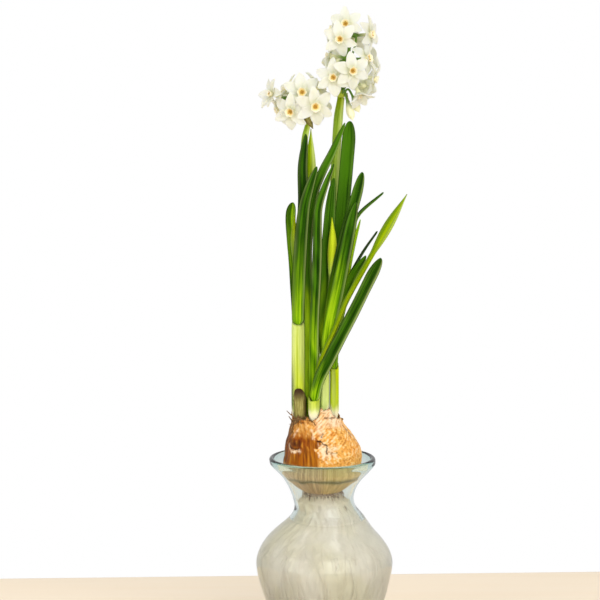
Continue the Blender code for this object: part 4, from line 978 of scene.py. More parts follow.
def leaf_skin(number, form, look, points):
    """One leaf. Its half width is 0.43 of itself in the sheath, springs to the mouth's width within 3 mm
    and reaches its own 28 mm above the mouth; at the tip it closes as a quarter circle. The face turns by
    a smooth step from foot to tip."""
    width, narrowing, shoot, face_from, face_to = form
    mouth, free_from = SHOOT_MOUTHS[shoot]
    fresh_to, change, shade, painted_left_tone, pale_margin_highlight, painted_right_shade = look
    share = 1 - (1 - np.linspace(0.0, 1.0, LEAF_ROWS)) ** 1.5
    fine = curve_through(points, FINE_ROWS)
    path = np.column_stack([np.interp(share, np.linspace(0, 1, FINE_ROWS), column) for column in fine.T])
    facing = facing_vector(face_from + (face_to - face_from) * smoothstep(share))
    height = path[:, 2]
    sprung = min(1.0, mouth / width)
    opening = FOLDED + (sprung - FOLDED) * smoothstep((height - free_from) / SPRING)
    opening = opening + (1 - sprung) * smoothstep((height - free_from - UNFOLD_AFTER) / UNFOLDING)
    left = np.clip((1.0 - share) / narrowing, 0.0, 1.0)
    half = 0.5 * width * opening * (np.sqrt(1 - (1 - left) ** 2) * 0.99 + 0.01)
    half = half * (1 + 0.02 * uneven(path, 30.0, 40 + number) * smoothstep((height - free_from) / 30.0))
    channel = LEAF_CHANNEL * smoothstep((height - free_from) / 30.0)
    rings, u, face = strap_section(path, half, facing, LEAF_THICKNESS, LEAF_EDGE, channel)
    height = height[:, None] + 0 * u
    across = u + 0 * height
    read_at = np.stack([across * 4, 0 * height + number * 9.0, height * 0.2], axis=-1)
    wander = uneven(read_at, 6.0, 60 + number)
    fresh = 1 - smoothstep((height - fresh_to + 10.0 * wander) / change)
    carried = {
        "fresh": np.clip(fresh * (1 - 0.45 * smoothstep((np.abs(across) - 0.55) / 0.4)), 0, 1),
        # The grey left border is painted sheen, the pale right margin is partly painted highlight, and the
        # darker right half is painted shade.
        "grey": painted_left_tone * smoothstep((-across - 0.35) / 0.5) * (0.75 + 0.25 * wander) * (1 - 0.6 * fresh),
        "pale": pale_margin_highlight * bell((across - 0.80) / 0.09),
        "shade": shade + 0.05 * wander + 0.03 * face - painted_right_shade * np.tanh((across - 0.1) / 0.12),
        "ends": 0 * across,
        "dark": np.clip(0.75 * smoothstep((np.abs(across) - 0.86) / 0.12) * (1 - 0.5 * fresh), 0, 1),
    }
    grain = np.stack([across * 0.5 * width + 30.0 * number, 2.0 * face + 0 * height, height], axis=-1)
    return carrying(rings, grain, carried)


for number, (name, parts) in enumerate(LEAVES.items()):
    new_piece("strap_" + name, [leaf_skin(number, *parts)], leaf_finish, [name])
most_points = max(len(points) for _, _, points in LEAVES.values())
print(len(LEAVES), "leaves, each placed with up to", most_points, "points")

# %% [markdown]
# ## Sheaths
#
# A thin pale membrane wraps the foot of each shoot, where the leaves stand pressed together. A solid
# stump would hide how they come out of it, so each sheath is a real thin tube: the rings go up outside,
# over the mouth and down inside, and the last ring joins the first. It starts a little inside the bulb.

# %% Sheaths
sheath_finish = green_finish(
    "sheath_skin", rgb(150, 164, 52), rgb(184, 198, 82), rgb(214, 224, 142), rgb(140, 160, 0),
    rgb(176, 196, 0), rgb(212, 226, 36), rgb(252, 242, 210))
# Middle x and y, half width, half depth, mouth height and slant; how lime at the mouth and the foot,
# how pale at the mouth and the foot, grey left border, which is painted shade low and painted sheen high
SHEATHS = {
    "sheath_left": ((-17.2, 0.3, 4.7, 8.0, 240.0, 3.0), (0.1, 0.85, 0.25, 0.0, 1.0)),
    "sheath_front": ((-5.9, -7.9, 4.1, 5.2, 185.0, 2.0), (0.85, 0.2, 0.0, 0.7, 0.5)),
    "sheath_middle": ((1.9, 2.2, 3.4, 8.8, 206.0, 2.0), (0.3, 0.2, 0.6, 0.9, 0.0)),
    "sheath_right": ((8.8, -0.2, 3.2, 6.0, 207.5, 2.5), (1.1, 1.0, 0.0, 0.15, 0.0)),
}
SHEATH_WALL, SHEATH_FOOT, SHEATH_SIDES = 0.8, 163.0, 96
ROWS_UP, ROWS_DOWN = 56, 20


def sheath_skin(number, form, look):
    """A tube whose section is a superellipse of power 0.5, x = half width * sign(cos) * |cos|^0.5 and the
    same for y, drawn in at the foot, with a mouth that is lower in front by slant * sin and uneven."""
    middle_x, middle_y, half_width, half_depth, mouth, slant = form
    lime_top, lime_foot, pale_top, pale_foot, painted_left_tone = look
    angle = circle(SHEATH_SIDES)
    across = np.sign(np.cos(angle)) * np.abs(np.cos(angle)) ** 0.5
    deep = np.sign(np.sin(angle)) * np.abs(np.sin(angle)) ** 0.5
    edge = np.stack([across * half_width, deep * half_depth, 0 * angle + 40.0 * number], axis=-1)
    top = mouth + slant * np.sin(angle) + 0.25 * uneven(edge, 5.0, 80)
    up = [np.linspace(0, 1, ROWS_UP), [1.001, 1.001], np.linspace(0.999, 0, ROWS_DOWN)]
    up = np.concatenate(up)[:, None]
    inset = SHEATH_WALL * np.concatenate([np.zeros(ROWS_UP), [0.3, 0.7], np.ones(ROWS_DOWN)])[:, None]
    height = SHEATH_FOOT + (top - SHEATH_FOOT) * up
    taper = 0.35 * smoothstep((up - 0.93) / 0.07) + 1.5 * (1 - smoothstep((height - 166.0) / 9.0))
    x = (half_width - inset - taper) * across + middle_x
    y = (half_depth - inset - taper) * deep + middle_y
    rings = np.stack([x, y, height], axis=-1)
    ribs = 0.10 * uneven(rings * [1.0, 1.0, 0.02], 2.6, 81) * (1 - inset / SHEATH_WALL)
    rings = rings + ribs[..., None] * np.stack([np.cos(angle), np.sin(angle), 0 * angle], axis=-1)
    share = (height - STAND) / (mouth - STAND)
    cloud = uneven(rings * [1.0, 1.0, 0.1], 6.0, 82)
    leftwards = smoothstep((-across - 0.3) / 0.6)
    lime = lime_foot + (lime_top - lime_foot) * smoothstep(share) + 0.12 * cloud
    pale = pale_foot + (pale_top - pale_foot) * smoothstep(share) - 0.10 * cloud
    # The left side is painted paler high up as sheen and greyer low down as shade.
    pale = pale + 0.5 * painted_left_tone * leftwards * smoothstep((share - 0.5) / 0.3)
    carried = {
        "fresh": np.clip(lime, 0, 1), "pale": np.clip(pale, 0, 1), "shade": 0.04 * cloud,
        "grey": painted_left_tone * leftwards * (1 - 0.8 * smoothstep((share - 0.35) / 0.3)),
        "dark": 0.55 * bell((height - top - 0.1) / 0.35),
        "ends": 0.9 * smoothstep((179.5 + 3.0 * cloud - height) / 8.5) + 0 * across,
    }
    grain = np.stack([rings[..., 0], rings[..., 1], height], axis=-1)
    return carrying(rings, grain, carried, capped=False)


for number, (name, parts) in enumerate(SHEATHS.items()):
    new_piece("membrane_" + name, [sheath_skin(number, *parts)], sheath_finish, [name])

# %% [markdown]
# ## Stalks and closed buds
#
# Four stalks still end in a closed bract, a long pointed envelope that holds the flower buds; two more
# carry the open flowers. All are faintly ribbed and slightly flat. A stalk is a tube along its path
# whose radius is a sum of a taper and a swelling.

# %% Stalks
stalk_finish = green_finish(
    "stalk_green", rgb(96, 130, 26), rgb(142, 178, 54), rgb(190, 218, 112), rgb(104, 136, 0),
    rgb(150, 174, 2), rgb(204, 220, 40), rgb(120, 96, 44))
# Stalk radius, bud radius and length; height above which it is fresh, shade, pale right side of painted
# highlight; points
BUD_STALKS = {
    "bud_stalk_left": ((1.3, 2.5, 32.0), (288, 0.02, 0.0), (
        (-17.4, 3.2, STAND), (-17.7, 3.2, 232), (-18.8, 1.4, 261), (-19.8, -1.0, 281), (-20.0, -3.0, 301),
        (-19.8, -4.0, 315))),
    "bud_stalk_tall": ((1.6, 4.1, 60.0), (330, 0.02, 0.75), (
        (-10.4, 3.4, STAND), (-10.9, 4.2, 195), (-11.6, 5.4, 232), (-11.2, 6.4, 261), (-10.2, 7.4, 296),
        (-8.8, 7.8, 335), (-8.1, 7.6, 376))),
    "bud_stalk_middle": ((1.3, 3.2, 44.0), (268, 0.14, 0.0), (
        (1.6, 1.9, STAND), (1.6, 1.6, 203), (2.7, -2.0, 233), (4.4, -4.2, 255), (6.1, -6.0, 275),
        (7.1, -7.2, 295), (6.7, -7.8, 314))),
    "bud_stalk_right": ((1.9, 3.3, 48.0), (150, -0.06, 0.3), (
        (-5.8, -7.2, STAND), (-4.9, -8.6, 192), (-1.0, -11.2, 212), (8.9, -13.6, 235), (17.3, -15.4, 256),
        (31.2, -17.8, 282), (45.0, -19.8, 307), (58.9, -21.2, 331))),
}
# Radius at the foot and the top, and points
SCAPES = {
    "scape_left": ((1.7, 2.3), (
        (-17.4, 0.3, STAND), (-17.4, 0.6, 240), (-15.9, 0.6, 276), (-14.5, -0.2, 311), (-13.8, -0.4, 347),
        (-12.7, -0.6, 368), (-9.2, -0.6, 383.5))),
    "scape_right": ((2.2, 3.3), (
        (-6.6, 9.4, STAND), (-5.8, 11.0, 194), (-1.4, 12.8, 231), (3.6, 13.2, 267), (7.5, 12.6, 303),
        (9.3, 11.0, 348), (11.2, 9.2, 382), (13.2, 8.0, 398))),
}
STALK_SIDES, STALK_ROWS = 28, 120


def stalk_skin(path, radii, fresh, shade, painted_right_highlight, brown, ribs):
    """A slightly flat tube with shallow ribs, radius * (1 + ribs * cos(7 * angle))."""
    angle = circle(STALK_SIDES)
    rings = tube(path, radii, STALK_SIDES, squash=0.85)
    rings = path[:, None] + (rings - path[:, None]) * (1 + ribs * np.cos(7 * angle))[None, :, None]
    rightwards = np.cos(angle)[None, :] + 0 * path[:, :1]
    height = path[:, 2:3] + 0 * rightwards
    grain = np.stack([rightwards * 3, np.sin(angle) * 3 + 0 * rightwards, height], axis=-1)
    carried = {
        # The right side is painted lighter and paler as highlight and the left side greyer as shade; low down
        # among the leaves the stalk is painted dark as shade.
        "fresh": fresh + 0 * rightwards, "shade": shade + 0.08 * rightwards,
        "pale": np.maximum(painted_right_highlight * smoothstep((rightwards - 0.1) / 0.5), 0),
        "ends": brown + 0 * rightwards, "grey": 0.45 * smoothstep((-rightwards - 0.5) / 0.5),
        "dark": 0.85 * (1 - smoothstep((height - 250.0) / 45.0)) * smoothstep((0.25 - fresh) / 0.2),
    }
    return carrying(rings, grain, carried)


def bud_stalk_skin(form, look, points):
    """The stalk tapers by 0.85 of a smooth step inside the bud, which swells as sin(pi * s)^1.2."""
    stalk, bud, length = form
    fresh_from, shade, painted_right_highlight = look
    path = curve_through(points, STALK_ROWS)
    along = np.concatenate([[0], np.cumsum(np.linalg.norm(np.diff(path, axis=0), axis=1))])
    in_bud = np.clip((along - along[-1] + length) / length, 0, 1)
    swell = np.abs(np.sin(np.pi * in_bud)) ** 1.2
    radii = stalk * (1 - 0.85 * smoothstep(in_bud)) + (bud - 0.57 * stalk) * swell
    fresh = smoothstep((path[:, 2] - fresh_from) / 20.0)[:, None]
    brown = 0.6 * smoothstep((in_bud - 0.975) / 0.025)[:, None]
    return stalk_skin(path, radii, fresh, shade, painted_right_highlight * in_bud[:, None] ** 0.5, brown, 0.02)


def scape_skin(form, points):
    """A stalk that widens from foot to top and narrows by a fifth under the flowers."""
    foot, top = form
    path = curve_through(points, STALK_ROWS)
    share = np.linspace(0, 1, STALK_ROWS)
    radii = foot + (top - foot) * smoothstep((share - 0.3) / 0.5)
    radii = radii * (1 - 0.22 * smoothstep((share - 0.93) / 0.07))
    fresh = np.maximum(0.15, smoothstep((share - 0.94) / 0.06))[:, None]
    return stalk_skin(path, radii, fresh, 0.06, 0.4, 0 * fresh, 0.03)


for name, parts in BUD_STALKS.items():
    new_piece("green_" + name, [bud_stalk_skin(*parts)], stalk_finish, [name])
for name, parts in SCAPES.items():
    new_piece("green_" + name, [scape_skin(*parts)], stalk_finish, [name])

# %% [markdown]
# ## Withered scales
#
# A dry scale clings to the left shoot, and at the top of each flower stalk hangs what is left of the
# envelope that held the buds. They are short straps, cupped and rough, olive brown with darker sides.

# %% Withered scales
bract_finish = Finish("dry_scale", {"Roughness": 0.62, "Specular IOR Level": 0.3})
grain = bract_finish.vector("grain")
lines = bract_finish.noise(bract_finish.stretched(grain, (1.0, 1.0, 0.08)), 1.6, 3.0, 0.6)
straw = bract_finish.ramp(
    lines, (0.3, rgb(96, 88, 34)), (0.5, rgb(154, 146, 72)), (0.7, rgb(204, 196, 124)))
bract_finish.colour(bract_finish.mix(bract_finish.value("dark"), straw, rgb(64, 42, 16)))
bract_finish.bump(lines, 0.35, 0.8)

# Width, facing, how dark, how far its edges bend forwards, how much of it the end takes and how pointed
# that is, points
BRACTS = {
    "sheath_withered": ((9.4, -8, 0.95, -3.0, 0.26, 0.5), (
        (-16.2, -9.3, 163.5), (-16.5, -9.7, 171), (-16.8, -9.7, 181), (-17.2, -9.5, 191.6))),
    "bract_left": ((6.2, 4, 0.4, 0.9, 0.9, 1.0), (
        (-11.4, -6.0, 388.0), (-10.8, -6.6, 384.8), (-9.2, -6.8, 381.0), (-6.6, -6.6, 376.0))),
    "bract_right": ((4.4, 60, 0.3, 0.9, 0.7, 0.8), (
        (17.2, 6.8, 401.2), (17.8, 6.5, 398.4), (18.8, 6.0, 395.0), (20.2, 5.2, 391.2))),
}
BRACT_ROWS = 48


def bract_skin(form, points):
    """A cupped strap which bends over one level axis and ends as (1 - (1 - s)^2)^p, a quarter ellipse for
    p = 0.5; its edges and its end are dark, and it crumples by uneven waves square to its face."""
    width, facing, dark, cup, end, pointed = form
    path = curve_through(points, BRACT_ROWS)
    even = np.linspace(0, 1, BRACT_ROWS)
    share = 1 - (1 - even) ** 1.6
    path = np.column_stack([np.interp(share, even, column) for column in path.T])
    left = np.clip((1 - share) / end, 0, 1)
    half = 0.5 * width * ((1 - (1 - left) ** 2) ** pointed * 0.99 + 0.01)
    level = np.cross([0.0, 0.0, 1.0], facing_vector(facing))
    faces = np.cross(level, unit(np.gradient(path, axis=0)))
    rings, u, face = strap_section(path, half, faces, 0.7, 0.5, cup * np.ones(BRACT_ROWS))
    rings = rings + 0.22 * uneven(rings, 3.0, 90)[..., None] * facing_vector(facing)
    edges = smoothstep((np.abs(u)[None, :] - 0.45) / 0.5)
    darkness = np.clip(dark * np.maximum(0.8 * edges, smoothstep((share - 0.55) / 0.4)[:, None]) + 0.05, 0, 1)
    grain = np.stack([u * width + 0 * rings[..., 0], 0 * rings[..., 0] + face, rings[..., 2]], axis=-1)
    return skin(rings[None], grain=grain[None], dark=darkness[None])


for name, parts in BRACTS.items():
    new_piece("dry_" + name, [bract_skin(*parts)], bract_finish, [name])

# %% [markdown]
# ## Florets
#
# A paperwhite carries a bunch of star flowers. Each has six tepals, three behind and three before, round
# a small ruffled cup with golden anthers, and behind it a thin tube, a green ovary and a pedicel that
# bends down to the top of the stalk. One floret could be made and copied, but then all would be the same,
# so every tepal's rings are computed from its own floret's place and a few drawn numbers.

# %% Floret table
# Middle of the star x, y, z; facing (degrees from the viewer towards the right, degrees up); turn of the
# star; reach; how many degrees the tepals close
LEFT_FLORETS = np.array([
    (-14.4, -14.0, 401.7, -5, 3, 36, 1.04, 0),
    (-5.3, -19.0, 391.8, 8, -10, 35, 1.04, 0),
    (-22.4, -14.0, 388.2, -22, -10, 22, 0.98, 4),
    (-35.6, -5.0, 400.1, -58, 14, 0, 0.90, 26),
    (-26.0, 4.0, 402.5, -80, 35, 20, 0.98, 6),
    (-30.5, -1.5, 389.5, -75, -22, 40, 0.92, 10),
    (-3.5, 3.0, 405.4, 110, 35, 5, 0.96, 4),
    (-19.0, 17.0, 399.0, -165, 5, 30, 1.0, 0),
    (-2.5, 15.0, 392.5, 145, -5, 10, 0.96, 0),
])
RIGHT_FLORETS = np.array([
    (16.0, -7.0, 449.1, -8, 12, 36, 0.92, 0),
    (12.0, -17.0, 438.5, -12, -6, 39, 0.92, 0),
    (7.8, 3.0, 445.6, -105, 12, 10, 0.86, 6),
    (33.3, 0.0, 442.1, 62, 2, 30, 0.98, 6),
    (7.4, -20.5, 412.0, -12, -3, 36, 1.0, 0),
    (20.4, -23.0, 416.5, 12, -3, 37, 0.96, 0),
    (31.0, -10.0, 425.0, 55, 14, 20, 0.94, 0),
    (36.0, -5.0, 411.0, 80, -12, 0, 0.90, 4),
    (25.3, -12.0, 400.5, 40, -58, 20, 0.84, 46),
    (5.4, 5.0, 427.0, -105, 4, 15, 0.90, 6),
    (22.0, 13.0, 440.0, 150, 50, 15, 0.90, 2),
    (12.0, 28.0, 424.0, -170, 4, 0, 1.0, 0),
    (33.0, 22.0, 427.0, 130, 12, 35, 0.95, 0),
    (30.0, 22.0, 406.0, 140, -14, 10, 0.95, 0),
])
HANGING_BUDS = (((17.0, -3.0, 396.8), (21.3, -8.4, 381.7)), ((21.4, 0.6, 398.6), (26.0, -2.6, 387.2)))
HEADS = {"left": (LEFT_FLORETS, (-9.2, -0.6, 383.5)), "right": (RIGHT_FLORETS, (13.2, 8.0, 398.0))}


def star_axes(florets):
    """Each star's middle, and its own axes: two across it, turned by its turn, and one out of its face."""
    out = facing_vector(florets[:, 3], florets[:, 4])
    level = unit(np.cross([0.0, 0.0, 1.0], out))
    turn = np.radians(florets[:, 5:6])
    across = np.cos(turn) * level + np.sin(turn) * np.cross(out, level)
    return florets[:, :3], across, np.cross(out, across), out


def head_of(name):
    florets, top = HEADS[name]
    return florets, np.asarray(top), {"left": 100, "right": 200}[name]


# %% [markdown]
# ## Tepals
#
# A tepal is a thin blade, white and slightly see-through, with fine veins and a crease down its middle.
# It rises from the hub, widens, ends in a small point, bends back a little and waves at its edges.

# %% Tepals
petal_finish = Finish("tepal_white", {"Roughness": 0.5, "Specular IOR Level": 0.3, "Subsurface Weight": 0.3,
                                      "Subsurface Radius": (1.0, 0.8, 0.5), "Subsurface Scale": 0.002})
grain = petal_finish.vector("grain")
veins = petal_finish.noise(petal_finish.stretched(grain, (1.0, 1.0, 0.05)), 2.4, 2.0, 0.55)
cloud = petal_finish.noise(grain, 0.14, 2.0)
white = petal_finish.mix(veins, rgb(255, 255, 252), rgb(250, 248, 238))
white = petal_finish.mix(petal_finish.between(cloud, 0.45, 0.75, 0.0, 0.5), white, rgb(242, 240, 222))
white = petal_finish.mix(petal_finish.value("green"), white, rgb(222, 224, 178))
petal_finish.colour(petal_finish.mix(petal_finish.value("rim"), white, rgb(230, 216, 204)))
petal_finish.bump(veins, 0.12, 0.7)
lit_through = petal_finish.node("ShaderNodeBsdfTranslucent", {}, {"Color": rgb(252, 252, 240)})
petal_finish.shares(lit_through, 0.38)

TEPAL_LENGTH, TEPAL_ROWS, TEPAL_SECTION = 14.2, 18, 8


def tepal_skins(name):
    """Six blades a floret. Half width = W * sin(pi * t^0.9)^0.6 * (1 - 0.1 t) + a claw at the hub; the
    spine leaves the hub along its ray, closes by the floret's angle, and bends back by B * t^2 with a wave
    of its own; across, the edges lift by u^2 and a narrow crease sinks along the middle."""
    florets, _, seed = head_of(name)
    middle, across, over, out = (each[:, None, :] for each in star_axes(florets))
    draw = np.random.default_rng(seed)

    def own(low, high):
        return draw.uniform(low, high, (len(florets), 6, 1))

    number = np.arange(6)[None, :, None]
    angle = np.radians(60 * number + own(-5, 5))
    ray = np.cos(angle) * across + np.sin(angle) * over
    aside = np.cross(out, ray)
    before = number % 2
    fold = np.radians(florets[:, 7][:, None, None] + own(-3, 6))
    along = np.cos(fold) * ray + np.sin(fold) * out
    normal = np.cos(fold) * out - np.sin(fold) * ray
    tilt = np.radians(own(-11, 11))
    aside, normal = np.cos(tilt) * aside + np.sin(tilt) * normal, np.cos(tilt) * normal - np.sin(tilt) * aside
    t = np.sin(np.linspace(0, np.pi / 2, TEPAL_ROWS)) ** 1.15
    reach = florets[:, 6][:, None, None] * own(0.93, 1.0)
    length = (TEPAL_LENGTH * reach - 1.8) * t
    wide = np.where(before == 1, 3.7, 4.3) * own(0.92, 1.06) * florets[:, 6][:, None, None]
    half = wide * np.abs(np.sin(np.pi * t**0.9)) ** 0.6 * (1 - 0.1 * t) + 1.5 * (1 - t) ** 3 + 0.06
    bend = np.where(before == 1, 1.2, 3.0) + own(-1.0, 1.4)
    lift = 0.5 * before - 0.35 - bend * t**2 + own(0.2, 0.6) * np.sin(t * own(3, 6) + own(0, 6)) * t
    sway = own(-0.8, 0.8) * t**2
    spine = middle[..., None, :] + 1.8 * ray[..., None, :] + length[..., None] * along[..., None, :]
    spine = spine + lift[..., None] * normal[..., None, :] + sway[..., None] * aside[..., None, :]
    swing = np.linspace(-1, 1, TEPAL_SECTION)
    u = np.concatenate([np.sin(swing * np.pi / 2), np.sin(swing[::-1] * np.pi / 2)])
    face = np.repeat([1.0, -1.0], TEPAL_SECTION)
    cup = own(0.2, 1.3)[..., None] * u**2 - 0.30 * bell(u / 0.16)
    depth, waves, phase = (own(low, high)[..., None] for low, high in ((0.1, 0.42), (8, 13), (0, 6)))
    ripple = depth * np.sin(waves * t[:, None] + phase + 1.4 * u)
    swell = (cup + ripple * u**2) * np.minimum(1, half / 2.5)[..., None]
    swell = swell + face * 0.22 * np.sqrt(np.maximum(1 - u**4, 0)) * np.minimum(1, half / 0.6)[..., None]
    rings = spine[..., None, :] + (half[..., None] * u)[..., None] * aside[:, :, None, None, :]
    rings = rings + swell[..., None] * normal[:, :, None, None, :]
    count = len(florets) * 6
    rings = rings.reshape(count, TEPAL_ROWS, 2 * TEPAL_SECTION, 3)
    place = np.arange(count)[:, None, None] * 17.0
    from_middle = (half[..., None] * u).reshape(rings.shape[:-1]) + place
    grain = np.stack(np.broadcast_arrays(from_middle, face, length.reshape(count, -1)[..., None]), axis=-1)
    green = 0.75 * (1 - smoothstep(t / 0.45))[:, None] * (0.55 + 0.45 * bell(u / 0.5)) + 0.06 * (face < 0)
    green = green + own(0.0, 0.28).reshape(count, 1, 1) * bell(u / 0.8)
    rim = 0.45 * smoothstep((np.abs(u) - 0.9) / 0.1) * smoothstep((t - 0.3) / 0.5)[:, None]
    return [skin(rings, grain=grain, green=np.clip(green, 0, 1), rim=rim[None])]


for name in HEADS:
    new_piece(f"tepals_{name}", tepal_skins(name), petal_finish, [f"flower_head_{name}"])

# %% [markdown]
# ## Cups, anthers and pedicels
#
# The cup is a thin ruffled bowl, cream at the rim and deep gold in the throat. It is a double wall, so
# its rings go up outside and down inside. Six small anthers fill its mouth. Behind the star the tube,
# the ovary and the pedicel are one carried tube, white above and green below.

# %% Cups and anthers
cup_finish = Finish("cup_cream", {"Roughness": 0.45, "Subsurface Weight": 0.2,
                                  "Subsurface Radius": (1.0, 0.7, 0.3), "Subsurface Scale": 0.0015})
throat = cup_finish.value("deep") + cup_finish.noise(cup_finish.place(), 0.9) * 0.16 - 0.08
cup_finish.colour(cup_finish.ramp(
    throat, (0.0, rgb(255, 249, 226)), (0.25, rgb(255, 240, 184)), (0.55, rgb(250, 220, 124)),
    (0.95, rgb(200, 152, 56))))
cup_finish.bump(cup_finish.noise(cup_finish.place(), 1.4, 3.0), 0.15, 0.6)
anther_finish = Finish("anther_gold", {"Roughness": 0.7})
dust = anther_finish.noise(anther_finish.place(), 3.0, 2.0)
anther_finish.colour(anther_finish.mix(dust, rgb(232, 192, 92), rgb(166, 124, 40)))
anther_finish.bump(dust, 0.1, 0.8)
CUP_SIDES, ANTHER_ROWS = 36, 7


def cup_skins(name):
    """A bowl of rings about each star's axis: radius and height along the wall, with a rim that ruffles as
    a sum of sin(6 a) and sin(11 a)."""
    florets, _, seed = head_of(name)
    middle, across, over, out = (each[:, None, None, :] for each in star_axes(florets))
    draw = np.random.default_rng(seed + 1)
    phase = draw.uniform(0, 2 * np.pi, (3, len(florets), 1, 1))
    angle = circle(CUP_SIDES)[None, None, :]
    wall = np.array([(2.0, -0.6, 0.2), (2.2, 0.3, 0.2), (2.5, 1.3, 0.15), (2.8, 2.1, 0.1), (3.1, 2.8, 0.05),
                     (3.2, 3.1, 0.0), (3.05, 3.1, 0.0), (2.8, 2.6, 0.06), (2.45, 1.9, 0.14), (2.1, 1.4, 0.25),
                     (1.7, 1.0, 0.4), (1.3, 0.6, 0.65), (0.9, 0.3, 0.9), (0.5, 0.2, 1.0)])
    radius, rise = wall[None, :, 0, None], wall[None, :, 1, None]
    size = (florets[:, 6] * draw.uniform(0.92, 1.06, len(florets)))[:, None, None]
    ruffle = np.sin(6 * angle + phase[0]) * 0.22 + np.sin(11 * angle + phase[1]) * 0.12
    ruffle = ruffle * smoothstep((rise - 0.8) / 2.3)
    lip = 0.12 * np.sin(9 * angle + phase[2]) * (rise > 2.7)
    radius, rise = (radius + ruffle) * size, rise + 0.35 * ruffle + lip
    radius = radius * (1 - 0.35 * smoothstep(florets[:, 7] / 40))[:, None, None]
    rings = (radius * np.cos(angle))[..., None] * across + (radius * np.sin(angle))[..., None] * over
    rings = middle + rings + rise[..., None] * out
    return [skin(rings, deep=wall[None, :, 2, None])]


def anther_skins(name):
    """Ellipsoids of seven rings: three stand in the cup's mouth and three deeper, each leaning outwards."""
    florets, _, seed = head_of(name)
    middle, across, over, out = (each[:, None, :] for each in star_axes(florets))
    draw = np.random.default_rng(seed + 2)
    number = np.arange(6)[None, :, None]
    angle = np.radians(60 * number + draw.uniform(-10, 10, (len(florets), 6, 1)))
    ray = np.cos(angle) * across + np.sin(angle) * over
    lean = unit(out + 0.35 * ray)
    raised = np.where(number % 2 == 1, 1.1, 0.2) + draw.uniform(-0.2, 0.3, (len(florets), 6, 1))
    foot = middle + ray * np.where(number % 2 == 1, 0.95, 0.7) + out * raised
    share = np.linspace(0, 1, ANTHER_ROWS)
    paths = foot[..., None, :] + (share * 1.5)[:, None] * lean[..., None, :]
    paths = paths.reshape(-1, ANTHER_ROWS, 3)
    first = unit(np.cross(out, ray) + 0 * lean).reshape(-1, 3)
    return [skin(tube(paths, 0.42 * np.sin(np.pi * (0.06 + 0.88 * share)) ** 0.6, 8, first))]


for name in HEADS:
    new_piece(f"cups_{name}", cup_skins(name), cup_finish, [f"flower_head_{name}"])
    new_piece(f"anthers_{name}", anther_skins(name), anther_finish, [f"flower_head_{name}"])

# %% Pedicels and hanging buds
pedicel_finish = Finish("pedicel_green", {"Roughness": 0.45})
grain = pedicel_finish.place((0.8, 0.8, 0.3))
lines = pedicel_finish.noise(grain, 1.0, 2.0)
green = pedicel_finish.mix(lines, rgb(58, 104, 12), rgb(118, 158, 44))
tube_white = pedicel_finish.mix(lines, rgb(250, 248, 222), rgb(238, 236, 176))
lime = pedicel_finish.mix(lines, rgb(160, 184, 30), rgb(214, 226, 90))
stem = pedicel_finish.mix(pedicel_finish.value("lime"), green, lime)
pedicel_finish.colour(pedicel_finish.mix(pedicel_finish.value("green"), tube_white, stem))
pedicel_finish.bump(lines, 0.15, 0.5)
BENT_ROWS, BENT_RADIUS = 15, 0.75
HANGING_ROWS, HANGING_SIDES = 60, 24


def foot_on_knob(places, top):
    """Where a pedicel starts on the knob: towards its floret, never below the knob's middle."""
    middle = top + np.array([0.0, 0.0, 3.2])
    return middle + 2.4 * unit(np.maximum(unit(places - middle), [-1.0, -1.0, -0.1]))


def pedicel_skins(name):
    """Tubes straight back from the star for 15 mm, then along a cubic Bezier curve to the knob; and the
    knob itself, turned on the stalk's end."""
    florets, top, _ = head_of(name)
    middle, across, _, out = star_axes(florets)
    depth = np.array([0.2, 0.8, 1.6, 2.8, 4.5, 6.5, 8.5, 9.8, 10.8, 11.8, 12.8, 13.8, 15.0])
    thick = np.array([2.3, 1.9, 1.55, 1.3, 1.2, 1.15, 1.15, 1.3, 1.6, 1.8, 1.7, 1.3, 0.85])
    straight = middle[:, None, :] - depth[:, None] * out[:, None, :]
    start = straight[:, -1]
    foot = foot_on_knob(start, top)
    length = np.linalg.norm(start - foot, axis=-1, keepdims=True)
    rising = unit(start - foot + 0.2 * length * np.array([0.0, 0.0, 1.0]))
    leaving = start - np.minimum(0.35 * length, 6.0) * out
    arriving = foot + 0.35 * length * rising
    t = np.linspace(0, 1, BENT_ROWS)[1:, None]
    start, leaving, arriving, foot = (each[:, None, :] for each in (start, leaving, arriving, foot))
    bent = (1 - t) ** 3 * start + 3 * t * (1 - t) ** 2 * leaving + 3 * t**2 * (1 - t) * arriving + t**3 * foot
    paths = np.concatenate([straight, bent], axis=1)
    radii = np.concatenate([thick, np.full(len(t), BENT_RADIUS)])
    green = np.concatenate([smoothstep((depth - 1.0) / 9.0) ** 1.3, np.ones(len(t))])
    stems = skin(tube(paths, radii, 12, across), green=green[None, :, None], lime=0 * green[None, :, None])
    knob = curve_through([(2.2, 0.0), (2.9, 0.8), (3.4, 2.4), (3.3, 4.2), (2.4, 6.0), (0.7, 6.9)], 14)
    knob = turned(knob, 24) + top
    return [stems, skin(knob, green=1.0, lime=1.0)]


